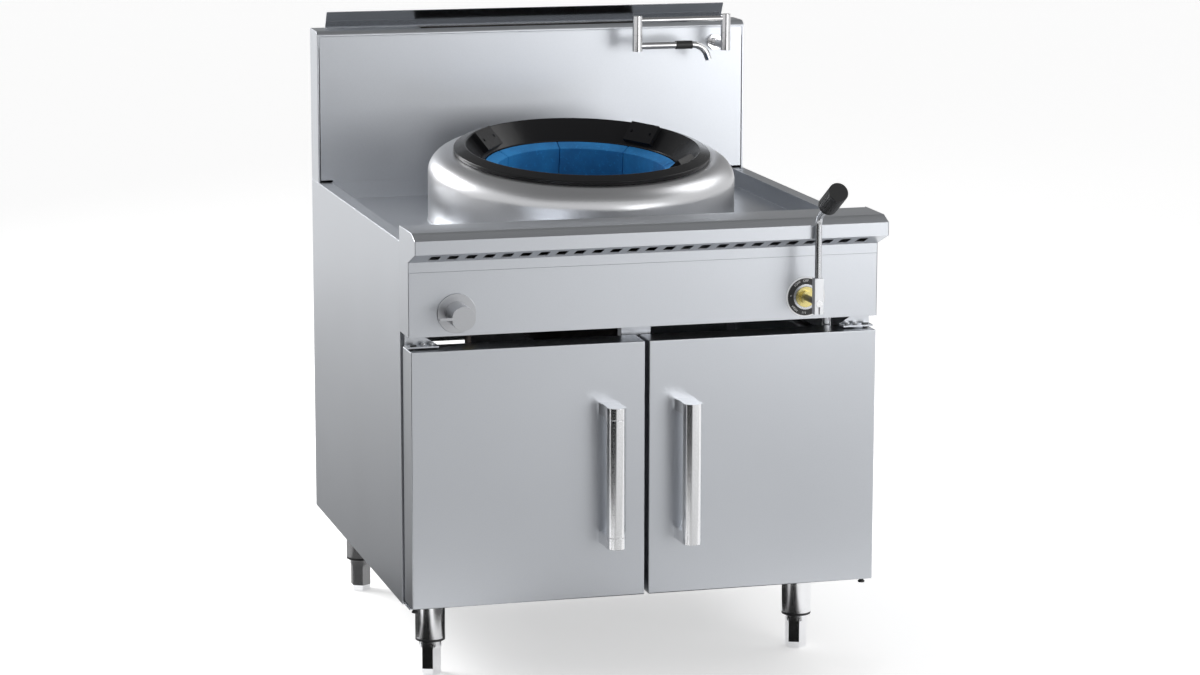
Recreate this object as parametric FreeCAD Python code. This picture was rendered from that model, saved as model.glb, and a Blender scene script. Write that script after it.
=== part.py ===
import FreeCAD, Part
import math
import os
from FreeCAD import Vector

# A free-standing wok range. +Z is up and the front faces -Y. Sizes are in millimetres.
# The model is drawn with x = 0 on the middle plane and z = 0 on the floor, and every
# piece is moved by Y_SHIFT at the end, so that the origin is under the middle of the range.

# Cabinet
HALF_WIDTH = 450.0
FRONT_Y = -269.0
REAR_Y = 566.0
BODY_BOTTOM = 175.0
DECK_Z = 860.0
SHEET = 1.5
RETURN_WIDTH = 20.0
BACK_PANEL_Y = 534.0
RAIL_HEIGHT = 40.0
RAIL_WALL = 3.0
RAIL_FLANGE = 40.0
MULLION_HALF = 28.5
MULLION_DEPTH = 25.0
SERVICE_SIDE = 50.0
SERVICE_INNER = 135.0
SERVICE_Z = (250.0, 514.0)
SERVICE_X = (SERVICE_SIDE - HALF_WIDTH, -SERVICE_INNER)

# Control box across the front
APRON_FRONT = -400.0
APRON_TOP = 888.0
APRON_REAR = -279.0
APRON_BREAK_Y = -372.0
APRON_BREAK_DROP = 11.0
APRON_NOSE_Z = 852.0
PANEL_Y = -340.0
STRIP_TOP = 829.0
STRIP_BOTTOM = 811.0
PANEL_TOP = 810.0
PANEL_BOTTOM = 691.0
PANEL_LAP = 14.0
SLOT_COUNT = 25
SLOT_MARGIN = 43.2
SLOT_PITCH = 2 * (HALF_WIDTH - SLOT_MARGIN) / (SLOT_COUNT - 1)
SLOT_LENGTH = 34.0
SLOT_WIDTH = 18.5

# Deck and wok collar
RIM_WIDTH = 26.0
DECK_FLOOR = 826.0
DECK_INNER_FRONT = -255.0
TONGUE_FRONT = -285.0
TILT = 6.6
RING_Y = 117.1
RING_Z = 961.4
SHELL_R = 206.0
THROAT_STEP = 15.0
CONE_WIDTH = 38.0
EDGE_WIDTH = 22.0
RING_THROAT_R = SHELL_R - THROAT_STEP
RING_LIP_R = RING_THROAT_R + CONE_WIDTH
RING_R = RING_LIP_R + EDGE_WIDTH
RING_EDGE = 8.0
RING_LIP_H = 8.0
RING_THROAT_H = -30.0
RING_WALL = 8.0
RING_FOOT = 6.0
COLLAR_SHOULDER = 49.0
COLLAR_LIP = 15.0
COLLAR_R = RING_R + COLLAR_SHOULDER
COLLAR_LIP_IN = RING_R - COLLAR_LIP
COLLAR_H = -49.4
COLLAR_WALL = 2.0
COLLAR_FOOT = 14.0
LUG_WIDTH = 66.0
LUG_THICK = 13.0
LUG_ABOVE_LIP = 5.5
LUG_ABOVE_THROAT = 12.5
LUG_ANGLES = (39.0, 141.0, 321.0)
LUG_HOLE_R = 2.5
LUG_HOLE_IN = 28.5
LUG_HOLE_OUT = 22.0

# Furnace
SHELL_WALL = 2.0
SHELL_MITRE = 0.4 * SHELL_WALL
SHELL_FLARE_H = -34.0
SHELL_FLANGE_WIDTH = 10.0
FURNACE_FLOOR_H = -170.0
LINING_WALL = 39.5
LINING_R = SHELL_R - LINING_WALL
LINING_TOP = -31.0
LINING_CHAMFER_H = -40.0
LINING_CLEAR = 1.0
LINING_LEDGE = 2.0
LINING_SEGMENTS = 8
LINING_JOINT = 1.0
BURNER_HOLE_R = 70.0
BURNER_FLANGE_R = 85.0
BURNER_HEAD_R = 62.0
BURNER_HEAD_H = 36.0
BURNER_HEAD_SLOPE = (12.0, 8.0)
BURNER_FLANGE = 5.0
BURNER_TUBE_LENGTH = 80.0
BURNER_TUBE_R = 25.0
BURNER_BLOCK = 28.0
JET_R = 3.5
JET_RISE = 8.0
OUTER_JET_COUNT = 12
OUTER_JETS_R = 38.0
INNER_JET_COUNT = 6
INNER_JETS_R = 18.0
SHROUD_R = 110.0
SHROUD_LENGTH = 197.0
PILOT_AT = 112.0
PILOT_R = 7.0
PILOT_HEIGHT = 28.0
PILOT_HOOD = 4.0
SENSOR_HEIGHT = 40.0
SENSOR_R = 3.0

# Flue and splashback
DUCT_HALF = 50.0
DUCT_FRONT = 258.0
DUCT_THROAT_REAR = 300.0
DUCT_BOTTOM = 740.0
DUCT_TOP = 795.0
FLUE_SIDE = 218.0
FLUE_HALF = HALF_WIDTH - FLUE_SIDE
FLUE_FRONT = 506.5
FLUE_REAR = 546.5
SPLASH_Y = 494.0
SPLASH_BOTTOM = 864.0
SPLASH_SEAM = 1154.0
SPLASH_SEAM_GAP = 2.0
SPLASH_CROWN = 13.0
SPLASH_TOP = SPLASH_SEAM + SPLASH_CROWN
SPLASH_ROUND_DEPTH = 17.0
SPLASH_SIDE_GAP = 1.5
CASING_RETURN = 3.5
DEFLECTOR_SIDE = 30.0
DEFLECTOR_HALF = HALF_WIDTH - DEFLECTOR_SIDE
DEFLECTOR_REAR = 4.0
DEFLECTOR_FOOT = 16.0
DEFLECTOR_RISE = 34.0
DEFLECTOR_LEAN = 20.0

# Doors, handles and hinges
DOOR_FRONT = -345.0
DOOR_DEPTH = 66.0
DOOR_BOTTOM = 183.0
DOOR_TOP = 665.0
DOOR_EDGE = 3.0
DOOR_MIDDLE_GAP = 4.0
DOOR_SHEET = 1.2
DOOR_ROUND = 2.0
HINGE_IN = 14.0
HINGE_Y = -315.0
PIN_R = 4.5
PIN_HEAD_R = 6.5
PIN_GRIP = 10.0
PIN_HEAD = 2.0
PIN_FOOT = 3.0
PIN_DROP = 5.0
BUSH_R = 8.0
BUSH_LENGTH = 12.0
FIT = 0.05
BRACKET_PLATE = 3.0
BRACKET_UPPER_Z = 668.0
BRACKET_LOWER_Z = 178.0
BRACKET_UPPER_WIDTH = 59.0
BRACKET_LOWER_WIDTH = 38.0
BRACKET_NECK = 27.0
BRACKET_FRONT = -325.0
WEB_Y = -300.0
HANDLE_X = 73.0
HANDLE_Y = -395.0
HANDLE_R = 18.0
HANDLE_Z = (288.0, 554.0)
HANDLE_END = 22.0
HANDLE_FOOT_HALF = 20.0
HANDLE_WALL = 1.5
HANDLE_WAIST = ((0.35, 0.96), (0.65, 0.94))
CATCH_GAP = 0.3
CATCH_SIDE = 4.0
CATCH_DROP = 10.0
CATCH_HEIGHT = 55.0

# Legs and feet
LEG_SIDE = 83.0
LEG_X = HALF_WIDTH - LEG_SIDE
LEG_FRONT_Y = -133.0
LEG_REAR_Y = 521.0
LEG_R = 28.5
LEG_WALL = 1.5
COLLAR_BLACK = 4.5
SHOULDER_Z = 67.0
FOOT_R = 21.0
FOOT_FLAT = 18.2
FOOT_FLAT_TOP = 50.0
FOOT_FLATS = 6
FOOT_CHAMFER = 1.0
FOOT_CUTTER_R = 8.0
FOOT_STEM_R = 16.0
FOOT_STEM_TOP = 140.0
SOCKET_TOP = 102.0
RUN_GAP = 0.3

# Gas control
DIAL_SIDE = 141.4
DIAL_X = HALF_WIDTH - DIAL_SIDE
CONTROL_Z = 733.0
DIAL_R = 38.0
DIAL_INNER_R = 24.0
BEZEL_R = 19.5
DIAL_THICK = 1.0
SPINDLE_R = 6.0
SPINDLE_REAR = -300.0
LEVER_FRONT = -419.0
LEVER_BLOCK_DEPTH = 16.0
LEVER_BLOCK_WIDTH = 17.3
LEVER_BLOCK_Z = (712.5, 780.0)
LEVER_ROD_R = 6.25
LEVER_BEND_Z = 893.0
LEVER_BEND_R = 25.0
LEVER_RISE = 30.0
LEVER_REACH = 125.0
GRIP_R = 18.5
GRIP_LENGTH = 68.0
GRIP_CHAMFER = 1.5
GRIP_RIBS = 28
GRIP_GROOVE_R = 0.9
CLAMP_SLOT = 2.0
CLAMP_SCREW_Z = 717.0
CLAMP_SCREW_R = 2.5
CLAMP_HEAD_R = 4.2
CLAMP_HEAD = 3.0
ROD_SOCKET = 6.0
GRIP_END = 12.0
VALVE_BLOCK = 22.0
VALVE_SET_BACK = 10.0
VALVE_SHOULDER = 3.0
VALVE_NOSE = 12.0
VALVE_REAR = -250.0
PIPE_R = 8.0
PIPE_BEND = 24.0
GAS_PIPE_SIDE = 73.0
GAS_PIPE_X = HALF_WIDTH - GAS_PIPE_SIDE
GAS_PIPE_Y = -264.0
UNION_Z = (662.0, 684.0)
UNION_R = 9.5
UNION_GROOVE = 1.0
GAS_INLET_Z = 640.0
INLET_R = 10.5
INLET_BORE_R = 8.0
INLET_NUT_R = 18.0
INLET_NUT = 6.0
INLET_INNER_Y = 520.0
INLET_END_Y = 562.0

# Water control and tap
KNOB_SIDE = 90.0
KNOB_X = KNOB_SIDE - HALF_WIDTH
KNOB_PLATE_R = 36.5
KNOB_PLATE = 3.5
KNOB_R = 22.0
KNOB_FRONT = -400.0
KNOB_STEM_R = 5.0
KNOB_STEM = 28.0
KNOB_BORE = 30.0
POINTER_REACH = 44.5
POINTER_HALF = 2.5
POINTER_DEPTH = 5.5
WATER_NOSE_R = 12.0
WATER_BLOCK = 20.0
WATER_REAR = -256.0
WATER_PIPE_OFFSET = 38.0
WATER_PIPE_X = KNOB_X + WATER_PIPE_OFFSET
WATER_FITTING_FOOT = 9.0
WATER_PIPE_Y = -268.0
WATER_PIPE_R = 6.0
WATER_INLET_Z = 600.0
RISER_Z = 722.0
RISER_CROSS_Y = 470.0
RISER_UP_Y = 521.0
TAP_SIDE = 64.0
TAP_ARM = 188.0
TAP_X = HALF_WIDTH - TAP_SIDE
TAP_FAR_X = TAP_X - TAP_ARM
TAP_Y = 416.0
TAP_BELOW_SEAM = 30.0
TAP_POST_FALL = 9.0
TAP_SPLIT_RISE = 27.0
TAP_POST_RISE = 65.0
TAP_UPPER_RISE = 56.0
TAP_FAR_FALL = 7.0
TAP_LOWER_RISE = 4.0
TAP_STEM_Z = SPLASH_SEAM - TAP_BELOW_SEAM
TAP_STEM_R = 8.0
TAP_POST_R = 10.0
TAP_POST_FOOT = TAP_STEM_Z - TAP_POST_FALL
TAP_SPLIT_Z = TAP_STEM_Z + TAP_SPLIT_RISE
TAP_POST_TOP = TAP_STEM_Z + TAP_POST_RISE
TAP_PIVOT_R = 5.0
TAP_PIVOT = 20.0
TAP_UPPER_Z = TAP_STEM_Z + TAP_UPPER_RISE
TAP_UPPER_R = 5.75
TAP_FAR_FOOT = TAP_STEM_Z - TAP_FAR_FALL
TAP_PIVOT_DOWN = 28.0
TAP_LOWER_Z = TAP_STEM_Z + TAP_LOWER_RISE
TAP_LOWER_R = 7.0
SLEEVE_START = 81.0
SLEEVE_LENGTH = 35.0
SLEEVE_X = (TAP_FAR_X + SLEEVE_START, TAP_FAR_X + SLEEVE_START + SLEEVE_LENGTH)
SLEEVE_R = 8.5
SPOUT_START = 140.0
SPOUT_REACH = 12.0
SPOUT_DROP = 27.0
SPOUT_X = (TAP_FAR_X + SPOUT_START, TAP_FAR_X + SPOUT_START + SPOUT_REACH)
SPOUT_END_Z = TAP_STEM_Z - SPOUT_DROP
SPOUT_BEND = 33.0
ESCUTCHEON_R = 17.0
ESCUTCHEON = 6.0
ESCUTCHEON_SIDES = 8
TAP_ELBOW = 10.0
TAP_ELBOW_Y = 514.0

# The farthest point to the front is the lower edge of the lever grip's end face.
LEVER_Y = LEVER_FRONT + LEVER_BLOCK_DEPTH / 2
GRIP_DROP = (GRIP_R - GRIP_CHAMFER) * math.sin(math.radians(LEVER_RISE))
FOREMOST_Y = LEVER_Y - LEVER_REACH * math.cos(math.radians(LEVER_RISE)) - GRIP_DROP
Y_SHIFT = -(FOREMOST_Y + REAR_Y) / 2

PANEL_INNER = HALF_WIDTH - SHEET
FRAME_FRONT = FRONT_Y + SHEET
SHELF_Z = BODY_BOTTOM + RAIL_HEIGHT
SHELF_TOP = SHELF_Z + SHEET
DECK_UNDER = DECK_Z - SHEET
DOOR_BACK = DOOR_FRONT + DOOR_DEPTH
HINGE_X = HALF_WIDTH - HINGE_IN
PLATE_FRONT = PANEL_Y - KNOB_PLATE
SHELL_FLOOR_UNDER = FURNACE_FLOOR_H - SHELL_WALL
MARGIN = 1.0

os.makedirs("parts", exist_ok=True)


def box(x, y, z):
    """Block between the two values of each pair."""
    corner = Vector(min(x), min(y), min(z))
    return Part.makeBox(abs(x[1] - x[0]), abs(y[1] - y[0]), abs(z[1] - z[0]), corner)


def upright(radius, x, y, z):
    """Round bar along Z between the two heights of z."""
    return Part.makeCylinder(radius, z[1] - z[0], Vector(x, y, z[0]), Vector(0, 0, 1))


def across(radius, x, y, z):
    """Round bar along X between the two values of x."""
    return Part.makeCylinder(radius, x[1] - x[0], Vector(x[0], y, z), Vector(1, 0, 0))


def inward(radius, x, y, z):
    """Round bar along Y between the two values of y."""
    return Part.makeCylinder(radius, y[1] - y[0], Vector(x, y[0], z), Vector(0, 1, 0))


def closed_face(points):
    return Part.Face(Part.makePolygon(points + points[:1]))


def prism(outline, half):
    """Solid with a side outline of (y, z) points, from -half to +half along X."""
    face = closed_face([Vector(-half, y, z) for y, z in outline])
    return face.extrude(Vector(2 * half, 0, 0))


def turned(outline):
    """Solid turned about Z from an outline of (radius, height) points."""
    face = closed_face([Vector(r, 0, h) for r, h in outline])
    return face.revolve(Vector(0, 0, 0), Vector(0, 0, 1), 360)


def joined(*shapes):
    return shapes[0].fuse(list(shapes[1:])).removeSplitter()


def mirrored(shape):
    return shape.mirror(Vector(0, 0, 0), Vector(1, 0, 0))


def on_burner_axis(shape):
    """Carry a piece drawn about Z over to the leaning axis of the burner and the wok ring."""
    leaning = shape.copy()
    leaning.rotate(Vector(0, 0, 0), Vector(1, 0, 0), TILT)
    leaning.translate(Vector(0, RING_Y, RING_Z))
    return leaning


def quarter_round(start, corner, end):
    """Quarter of an ellipse that leaves start and reaches end along the sides of the corner."""
    curve = Part.BezierCurve()
    curve.setPoles([start, corner, end])
    curve.setWeight(2, math.sqrt(0.5))
    return curve.toShape()


def pipe(points, radius, bend):
    """Round pipe along straight runs that are joined by arcs of one bend radius."""
    corners = [Vector(*point) for point in points]
    edges = []
    start = corners[0]
    for before, corner, after in zip(corners, corners[1:], corners[2:]):
        into = (corner - before).normalize()
        out = (after - corner).normalize()
        half_turn = into.getAngle(out) / 2
        inside = (out - into).normalize()
        centre = corner + inside * (bend / math.cos(half_turn))
        arc_start = corner - into * (bend * math.tan(half_turn))
        arc_end = corner + out * (bend * math.tan(half_turn))
        edges.append(Part.LineSegment(start, arc_start).toShape())
        edges.append(Part.Arc(arc_start, centre - inside * bend, arc_end).toShape())
        start = arc_end
    edges.append(Part.LineSegment(start, corners[-1]).toShape())
    section = Part.Wire(Part.makeCircle(radius, corners[0], corners[1] - corners[0]))
    return Part.Wire(edges).makePipeShell([section], True, False)


def bent_sheet(outline, thickness):
    """Side outline of a bent sheet, from the (y, z) points of its outer face."""
    inner = []
    for index, (y, z) in enumerate(outline):
        normals = []
        for first, second in ((index - 1, index), (index, index + 1)):
            if first < 0 or second >= len(outline):
                continue
            run = (outline[second][0] - outline[first][0], outline[second][1] - outline[first][1])
            length = math.hypot(*run)
            normals.append((-run[1] / length, run[0] / length))
        mean = (sum(n[0] for n in normals), sum(n[1] for n in normals))
        share = 2 * len(normals) / (mean[0] ** 2 + mean[1] ** 2) * thickness / 2
        inner.append((y + mean[0] * share, z + mean[1] * share))
    return outline + inner[::-1]


def save(name, *shapes):
    solids = [solid for shape in shapes for solid in shape.Solids]
    whole = solids[0] if len(solids) == 1 else Part.makeCompound(solids)
    placed = whole.copy()
    placed.translate(Vector(0, Y_SHIFT, 0))
    placed.exportStep("parts/" + name + ".step")


# Cabinet shell

def side_panel():
    """Right side: plate, front return behind the doors and the ledge of the back panel."""
    plate = box((PANEL_INNER, HALF_WIDTH), (FRONT_Y, REAR_Y), (BODY_BOTTOM, DECK_UNDER))
    return_x = (HALF_WIDTH - RETURN_WIDTH, PANEL_INNER)
    front = box(return_x, (FRONT_Y, FRAME_FRONT), (BODY_BOTTOM, PANEL_BOTTOM))
    ledge = box(return_x, (BACK_PANEL_Y - SHEET, BACK_PANEL_Y), (SHELF_TOP, DECK_UNDER))
    return joined(plate, front, ledge)


def back_panel():
    """Recessed back with the service opening, the notch of the flue and the inlet holes."""
    y = (BACK_PANEL_Y, BACK_PANEL_Y + SHEET)
    hole_y = (y[0] - MARGIN, y[1] + MARGIN)
    plate = box((-PANEL_INNER, PANEL_INNER), y, (SHELF_TOP, DECK_UNDER))
    notch_half = FLUE_HALF + SHEET + MARGIN
    notch = box((-notch_half, notch_half), hole_y, (DUCT_BOTTOM - 2 * SHEET - MARGIN, DECK_Z))
    service = box(SERVICE_X, hole_y, SERVICE_Z)
    gas = inward(INLET_R + RUN_GAP, GAS_PIPE_X, hole_y, GAS_INLET_Z)
    water = inward(INLET_R + RUN_GAP, WATER_PIPE_X, hole_y, WATER_INLET_Z)
    return plate.cut([notch, service, gas, water])


def base_frame():
    """Welded angles round the foot of the cabinet and two channels that stand on the legs."""
    rear = REAR_Y - SHEET
    low = (BODY_BOTTOM, BODY_BOTTOM + RAIL_WALL)
    tall = (BODY_BOTTOM, SHELF_Z)
    pieces = []
    for side in (-1, 1):
        wall_x = (side * (PANEL_INNER - RAIL_WALL), side * PANEL_INNER)
        flange_x = (side * (PANEL_INNER - RAIL_FLANGE), side * PANEL_INNER)
        pieces.append(box(wall_x, (FRAME_FRONT, rear), tall))
        pieces.append(box(flange_x, (FRAME_FRONT, rear), low))
    span = (-PANEL_INNER, PANEL_INNER)
    pieces.append(box(span, (FRAME_FRONT, FRAME_FRONT + RAIL_WALL), tall))
    pieces.append(box(span, (FRAME_FRONT, FRAME_FRONT + RAIL_FLANGE), low))
    pieces.append(box(span, (rear - RAIL_WALL, rear), tall))
    for leg_y in (LEG_FRONT_Y, LEG_REAR_Y):
        half = LEG_R + RAIL_WALL
        pieces.append(box(span, (leg_y - half, leg_y + half), low))
        pieces.append(box(span, (leg_y - half, leg_y - half + RAIL_WALL), tall))
        pieces.append(box(span, (leg_y + half - RAIL_WALL, leg_y + half), tall))
    return joined(*pieces)


def base_shelf():
    return box((-PANEL_INNER, PANEL_INNER), (FRAME_FRONT, REAR_Y - SHEET), (SHELF_Z, SHELF_TOP))


def centre_mullion():
    """Folded channel between the doors."""
    z = (SHELF_TOP, PANEL_BOTTOM)
    pieces = [box((-MULLION_HALF, MULLION_HALF), (FRONT_Y, FRAME_FRONT), z)]
    for side in (-1, 1):
        x = (side * (MULLION_HALF - SHEET), side * MULLION_HALF)
        pieces.append(box(x, (FRONT_Y, FRONT_Y + MULLION_DEPTH), z))
    return joined(*pieces)


def door_catches():
    """One magnet for each door, fixed to the mullion."""
    top = DOOR_TOP - CATCH_DROP
    x = (DOOR_MIDDLE_GAP + CATCH_SIDE, MULLION_HALF - CATCH_SIDE)
    right = box(x, (DOOR_BACK + CATCH_GAP, FRONT_Y), (top - CATCH_HEIGHT, top))
    return [right, mirrored(right)]


# Legs and feet

def leg_places():
    return [(x, y) for y in (LEG_FRONT_Y, LEG_REAR_Y) for x in (-LEG_X, LEG_X)]


def leg_tube(x, y):
    bottom = SHOULDER_Z + COLLAR_BLACK
    tube = upright(LEG_R, x, y, (bottom, BODY_BOTTOM))
    return tube.cut(upright(LEG_R - LEG_WALL, x, y, (bottom - MARGIN, BODY_BOTTOM - RAIL_WALL)))


def leg_socket(x, y):
    """Plug in the end of a leg, which guides the stem of the foot."""
    bottom = SHOULDER_Z + COLLAR_BLACK
    plug = upright(LEG_R - LEG_WALL, x, y, (bottom, SOCKET_TOP))
    return plug.cut(upright(FOOT_STEM_R + FIT, x, y, (bottom - MARGIN, SOCKET_TOP + MARGIN)))


def leg_collar(x, y):
    ring = upright(LEG_R, x, y, (SHOULDER_Z, SHOULDER_Z + COLLAR_BLACK))
    hole = upright(FOOT_STEM_R + RUN_GAP, x, y, (SHOULDER_Z - MARGIN, SHOULDER_Z + COLLAR_BLACK + MARGIN))
    return ring.cut(hole)


def foot(x, y):
    """Round bar with six milled flats, whose ends run out in the radius of the cutter."""
    bar = upright(FOOT_R, 0, 0, (0, SHOULDER_Z - RUN_GAP))
    bar = bar.makeChamfer(FOOT_CHAMFER, [bar.Edges[-1]])
    for index in range(FOOT_FLATS):
        flat = box((FOOT_FLAT, 2 * FOOT_R), (-FOOT_R, FOOT_R), (-MARGIN, FOOT_FLAT_TOP))
        cutter_x = FOOT_FLAT + FOOT_CUTTER_R
        cutter = inward(FOOT_CUTTER_R, cutter_x, (-FOOT_R, FOOT_R), FOOT_FLAT_TOP)
        milled = flat.fuse(cutter)
        milled.rotate(Vector(0, 0, 0), Vector(0, 0, 1), 360 / FOOT_FLATS * index)
        bar = bar.cut(milled)
    stem = upright(FOOT_STEM_R, 0, 0, (FOOT_FLAT_TOP, FOOT_STEM_TOP))
    whole = joined(bar, stem)
    whole.translate(Vector(x, y, 0))
    return whole


# Deck, wok collar and wok ring

def deck_tray():
    """Pressed hob top: a flat rim, upright walls and a floor with the hole of the collar."""
    wall_x = HALF_WIDTH - RIM_WIDTH
    rim = box((-HALF_WIDTH, HALF_WIDTH), (FRONT_Y, REAR_Y), (DECK_UNDER, DECK_Z))
    tongue = box((-PANEL_INNER, PANEL_INNER), (TONGUE_FRONT, FRONT_Y), (DECK_UNDER, DECK_Z))
    tub_y = (DECK_INNER_FRONT - SHEET, SPLASH_Y + SHEET)
    tub = box((-wall_x - SHEET, wall_x + SHEET), tub_y, (DECK_FLOOR - SHEET, DECK_Z))
    hollow = box((-wall_x, wall_x), (DECK_INNER_FRONT, SPLASH_Y), (DECK_FLOOR, DECK_Z + MARGIN))
    foot_y = RING_Y - COLLAR_H * math.sin(math.radians(TILT))
    mouth = upright(COLLAR_R - COLLAR_FOOT, 0, foot_y, (DECK_FLOOR - 2 * SHEET, DECK_Z))
    hole_z = (DECK_UNDER - MARGIN, DECK_Z + MARGIN)
    flue_x = FLUE_HALF + SHEET + RUN_GAP
    flue_y = (FLUE_FRONT - SHEET - RUN_GAP, FLUE_REAR + SHEET + RUN_GAP)
    flue = box((-flue_x, flue_x), flue_y, hole_z)
    riser = upright(WATER_PIPE_R + RUN_GAP, TAP_X, RISER_UP_Y, hole_z)
    return joined(rim, tongue, tub).cut([hollow, mouth, flue, riser])


def wok_collar():
    """Raised stainless collar: an upright wall under a rounded shoulder that leans forward."""
    crease, wall = COLLAR_H, COLLAR_WALL
    top = -RING_EDGE
    outer = quarter_round(Vector(COLLAR_R, 0, crease), Vector(COLLAR_R, 0, top), Vector(RING_R, 0, top))
    inner_corner = Vector(COLLAR_R - wall, 0, top - wall)
    inner = quarter_round(Vector(RING_R, 0, top - wall), inner_corner, Vector(COLLAR_R - wall, 0, crease))
    lip = Part.makePolygon([Vector(RING_R, 0, top), Vector(COLLAR_LIP_IN, 0, top),
                            Vector(COLLAR_LIP_IN, 0, top - wall), Vector(RING_R, 0, top - wall)])
    base = Part.makePolygon([Vector(COLLAR_R - wall, 0, crease), Vector(COLLAR_R, 0, crease)])
    section = Part.Face(Part.Wire([outer] + lip.Edges + [inner] + base.Edges))
    shoulder = on_burner_axis(section.revolve(Vector(0, 0, 0), Vector(0, 0, 1), 360))
    disc = Part.Face(Part.Wire(Part.makeCircle(COLLAR_R, Vector(0, 0, crease))))
    middle = Part.Face(Part.Wire(Part.makeCircle(COLLAR_R - wall, Vector(0, 0, crease))))
    drop = Vector(0, 0, -(RING_Z - DECK_FLOOR) - COLLAR_R)
    skirt = on_burner_axis(disc).extrude(drop).cut(on_burner_axis(middle).extrude(drop))
    room = 2 * COLLAR_R
    above = box((-room, room), (RING_Y - room, RING_Y + room), (DECK_FLOOR, RING_Z + room))
    return joined(shoulder, skirt.common(above))


def wok_ring():
    """Cast ring: a flat edge on the collar, a raised lip and a cone down to the throat."""
    throat_foot = RING_THROAT_H - RING_WALL
    outline = [(RING_R, 0), (RING_LIP_R, RING_LIP_H), (RING_THROAT_R, RING_THROAT_H),
               (RING_THROAT_R, throat_foot), (RING_THROAT_R + RING_FOOT, throat_foot),
               (RING_THROAT_R + RING_FOOT - throat_foot - RING_EDGE, -RING_EDGE), (RING_R, -RING_EDGE)]
    return on_burner_axis(turned(outline))


def wok_lugs():
    """Flat pads that lie on the cone and carry the wok, each drilled twice from above."""
    rise = LUG_THICK / math.sqrt(2)
    top, foot = RING_LIP_H + LUG_ABOVE_LIP, RING_THROAT_H + LUG_ABOVE_THROAT
    inside = turned([(0, top + MARGIN), (RING_LIP_R, top + MARGIN), (RING_LIP_R, RING_LIP_H),
                     (RING_THROAT_R, RING_THROAT_H), (0, RING_THROAT_H)])
    face = RING_LIP_R - RING_LIP_H - 2 * rise
    outline = [(face + top, top), (face + foot, foot), (face + foot + 2 * rise, foot - 2 * rise),
               (face + top + 2 * rise, top - 2 * rise)]
    pads = []
    for angle in LUG_ANGLES:
        points = [Vector(r, -LUG_WIDTH / 2, h) for r, h in outline]
        pad = closed_face(points).extrude(Vector(0, LUG_WIDTH, 0))
        for side in (-1, 1):
            hole_z = (-LUG_THICK, top + MARGIN)
            pad = pad.cut(upright(LUG_HOLE_R, RING_LIP_R - LUG_HOLE_IN, side * LUG_HOLE_OUT, hole_z))
        pad.rotate(Vector(0, 0, 0), Vector(0, 0, 1), angle)
        pads.append(on_burner_axis(pad.common(inside)))
    return pads


# Furnace

def duct_throat():
    return box((-DUCT_HALF + SHEET, DUCT_HALF - SHEET),
               (DUCT_FRONT + SHEET, DUCT_THROAT_REAR - SHEET), (DUCT_TOP, DECK_FLOOR))


def furnace_shell():
    """Steel pot under the ring: a floor, a wall and a flare that hangs on the collar's lip."""
    under = -RING_EDGE - COLLAR_WALL
    flare_r = SHELL_R + under - SHELL_FLARE_H
    flange_r = flare_r + SHELL_FLANGE_WIDTH
    outline = [(BURNER_HOLE_R, SHELL_FLOOR_UNDER), (SHELL_R + SHELL_WALL, SHELL_FLOOR_UNDER),
               (SHELL_R + SHELL_WALL, SHELL_FLARE_H - SHELL_MITRE),
               (flare_r + SHELL_MITRE, under - SHELL_WALL), (flange_r, under - SHELL_WALL),
               (flange_r, under), (flare_r, under), (SHELL_R, SHELL_FLARE_H),
               (SHELL_R, FURNACE_FLOOR_H), (BURNER_HOLE_R, FURNACE_FLOOR_H)]
    return on_burner_axis(turned(outline)).cut(duct_throat())


def refractory_lining():
    """Ring of fired segments with a chamfered top edge, parted by thin joints."""
    chamfer_r = RING_THROAT_R - LINING_LEDGE
    shelf_h = RING_THROAT_H - RING_WALL - LINING_CLEAR
    outer_r = SHELL_R - LINING_CLEAR
    outline = [(LINING_R, LINING_CHAMFER_H), (chamfer_r, LINING_TOP), (chamfer_r, shelf_h),
               (outer_r, shelf_h), (outer_r, FURNACE_FLOOR_H), (LINING_R, FURNACE_FLOOR_H)]
    joints = []
    for index in range(LINING_SEGMENTS // 2):
        slab = box((-SHELL_R, SHELL_R), (-LINING_JOINT / 2, LINING_JOINT / 2), (FURNACE_FLOOR_H, 0))
        slab.rotate(Vector(0, 0, 0), Vector(0, 0, 1), index * 360 / LINING_SEGMENTS)
        joints.append(slab)
    return on_burner_axis(turned(outline).cut(joints))


def burner_axis_y(z):
    """Place of the leaning burner axis at a height."""
    return RING_Y - (z - RING_Z) * math.tan(math.radians(-TILT))


def burner_body():
    """Cast burner: head, flange on the furnace floor, mixing tube and injector block."""
    floor = FURNACE_FLOOR_H
    top = floor + BURNER_HEAD_H
    foot = floor - BURNER_TUBE_LENGTH
    step = floor + BURNER_FLANGE
    slope_in, slope_down = BURNER_HEAD_SLOPE
    outline = [(0, foot), (BURNER_TUBE_R, foot), (BURNER_TUBE_R, floor), (BURNER_FLANGE_R, floor),
               (BURNER_FLANGE_R, step), (BURNER_HEAD_R, step), (BURNER_HEAD_R, top - slope_down),
               (BURNER_HEAD_R - slope_in, top), (0, top)]
    middle = burner_axis_y(CONTROL_Z)
    block = box((-BURNER_BLOCK, BURNER_BLOCK), (middle - BURNER_BLOCK, middle + BURNER_BLOCK),
                (CONTROL_Z - BURNER_BLOCK, CONTROL_Z + BURNER_BLOCK))
    return joined(on_burner_axis(turned(outline)), block)


def burner_jets():
    top = FURNACE_FLOOR_H + BURNER_HEAD_H
    jets = []
    for count, circle in ((OUTER_JET_COUNT, OUTER_JETS_R), (INNER_JET_COUNT, INNER_JETS_R)):
        for index in range(count):
            angle = 2 * math.pi * index / count
            jet = upright(JET_R, circle * math.cos(angle), circle * math.sin(angle), (top, top + JET_RISE))
            jets.append(on_burner_axis(jet))
    return jets


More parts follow.
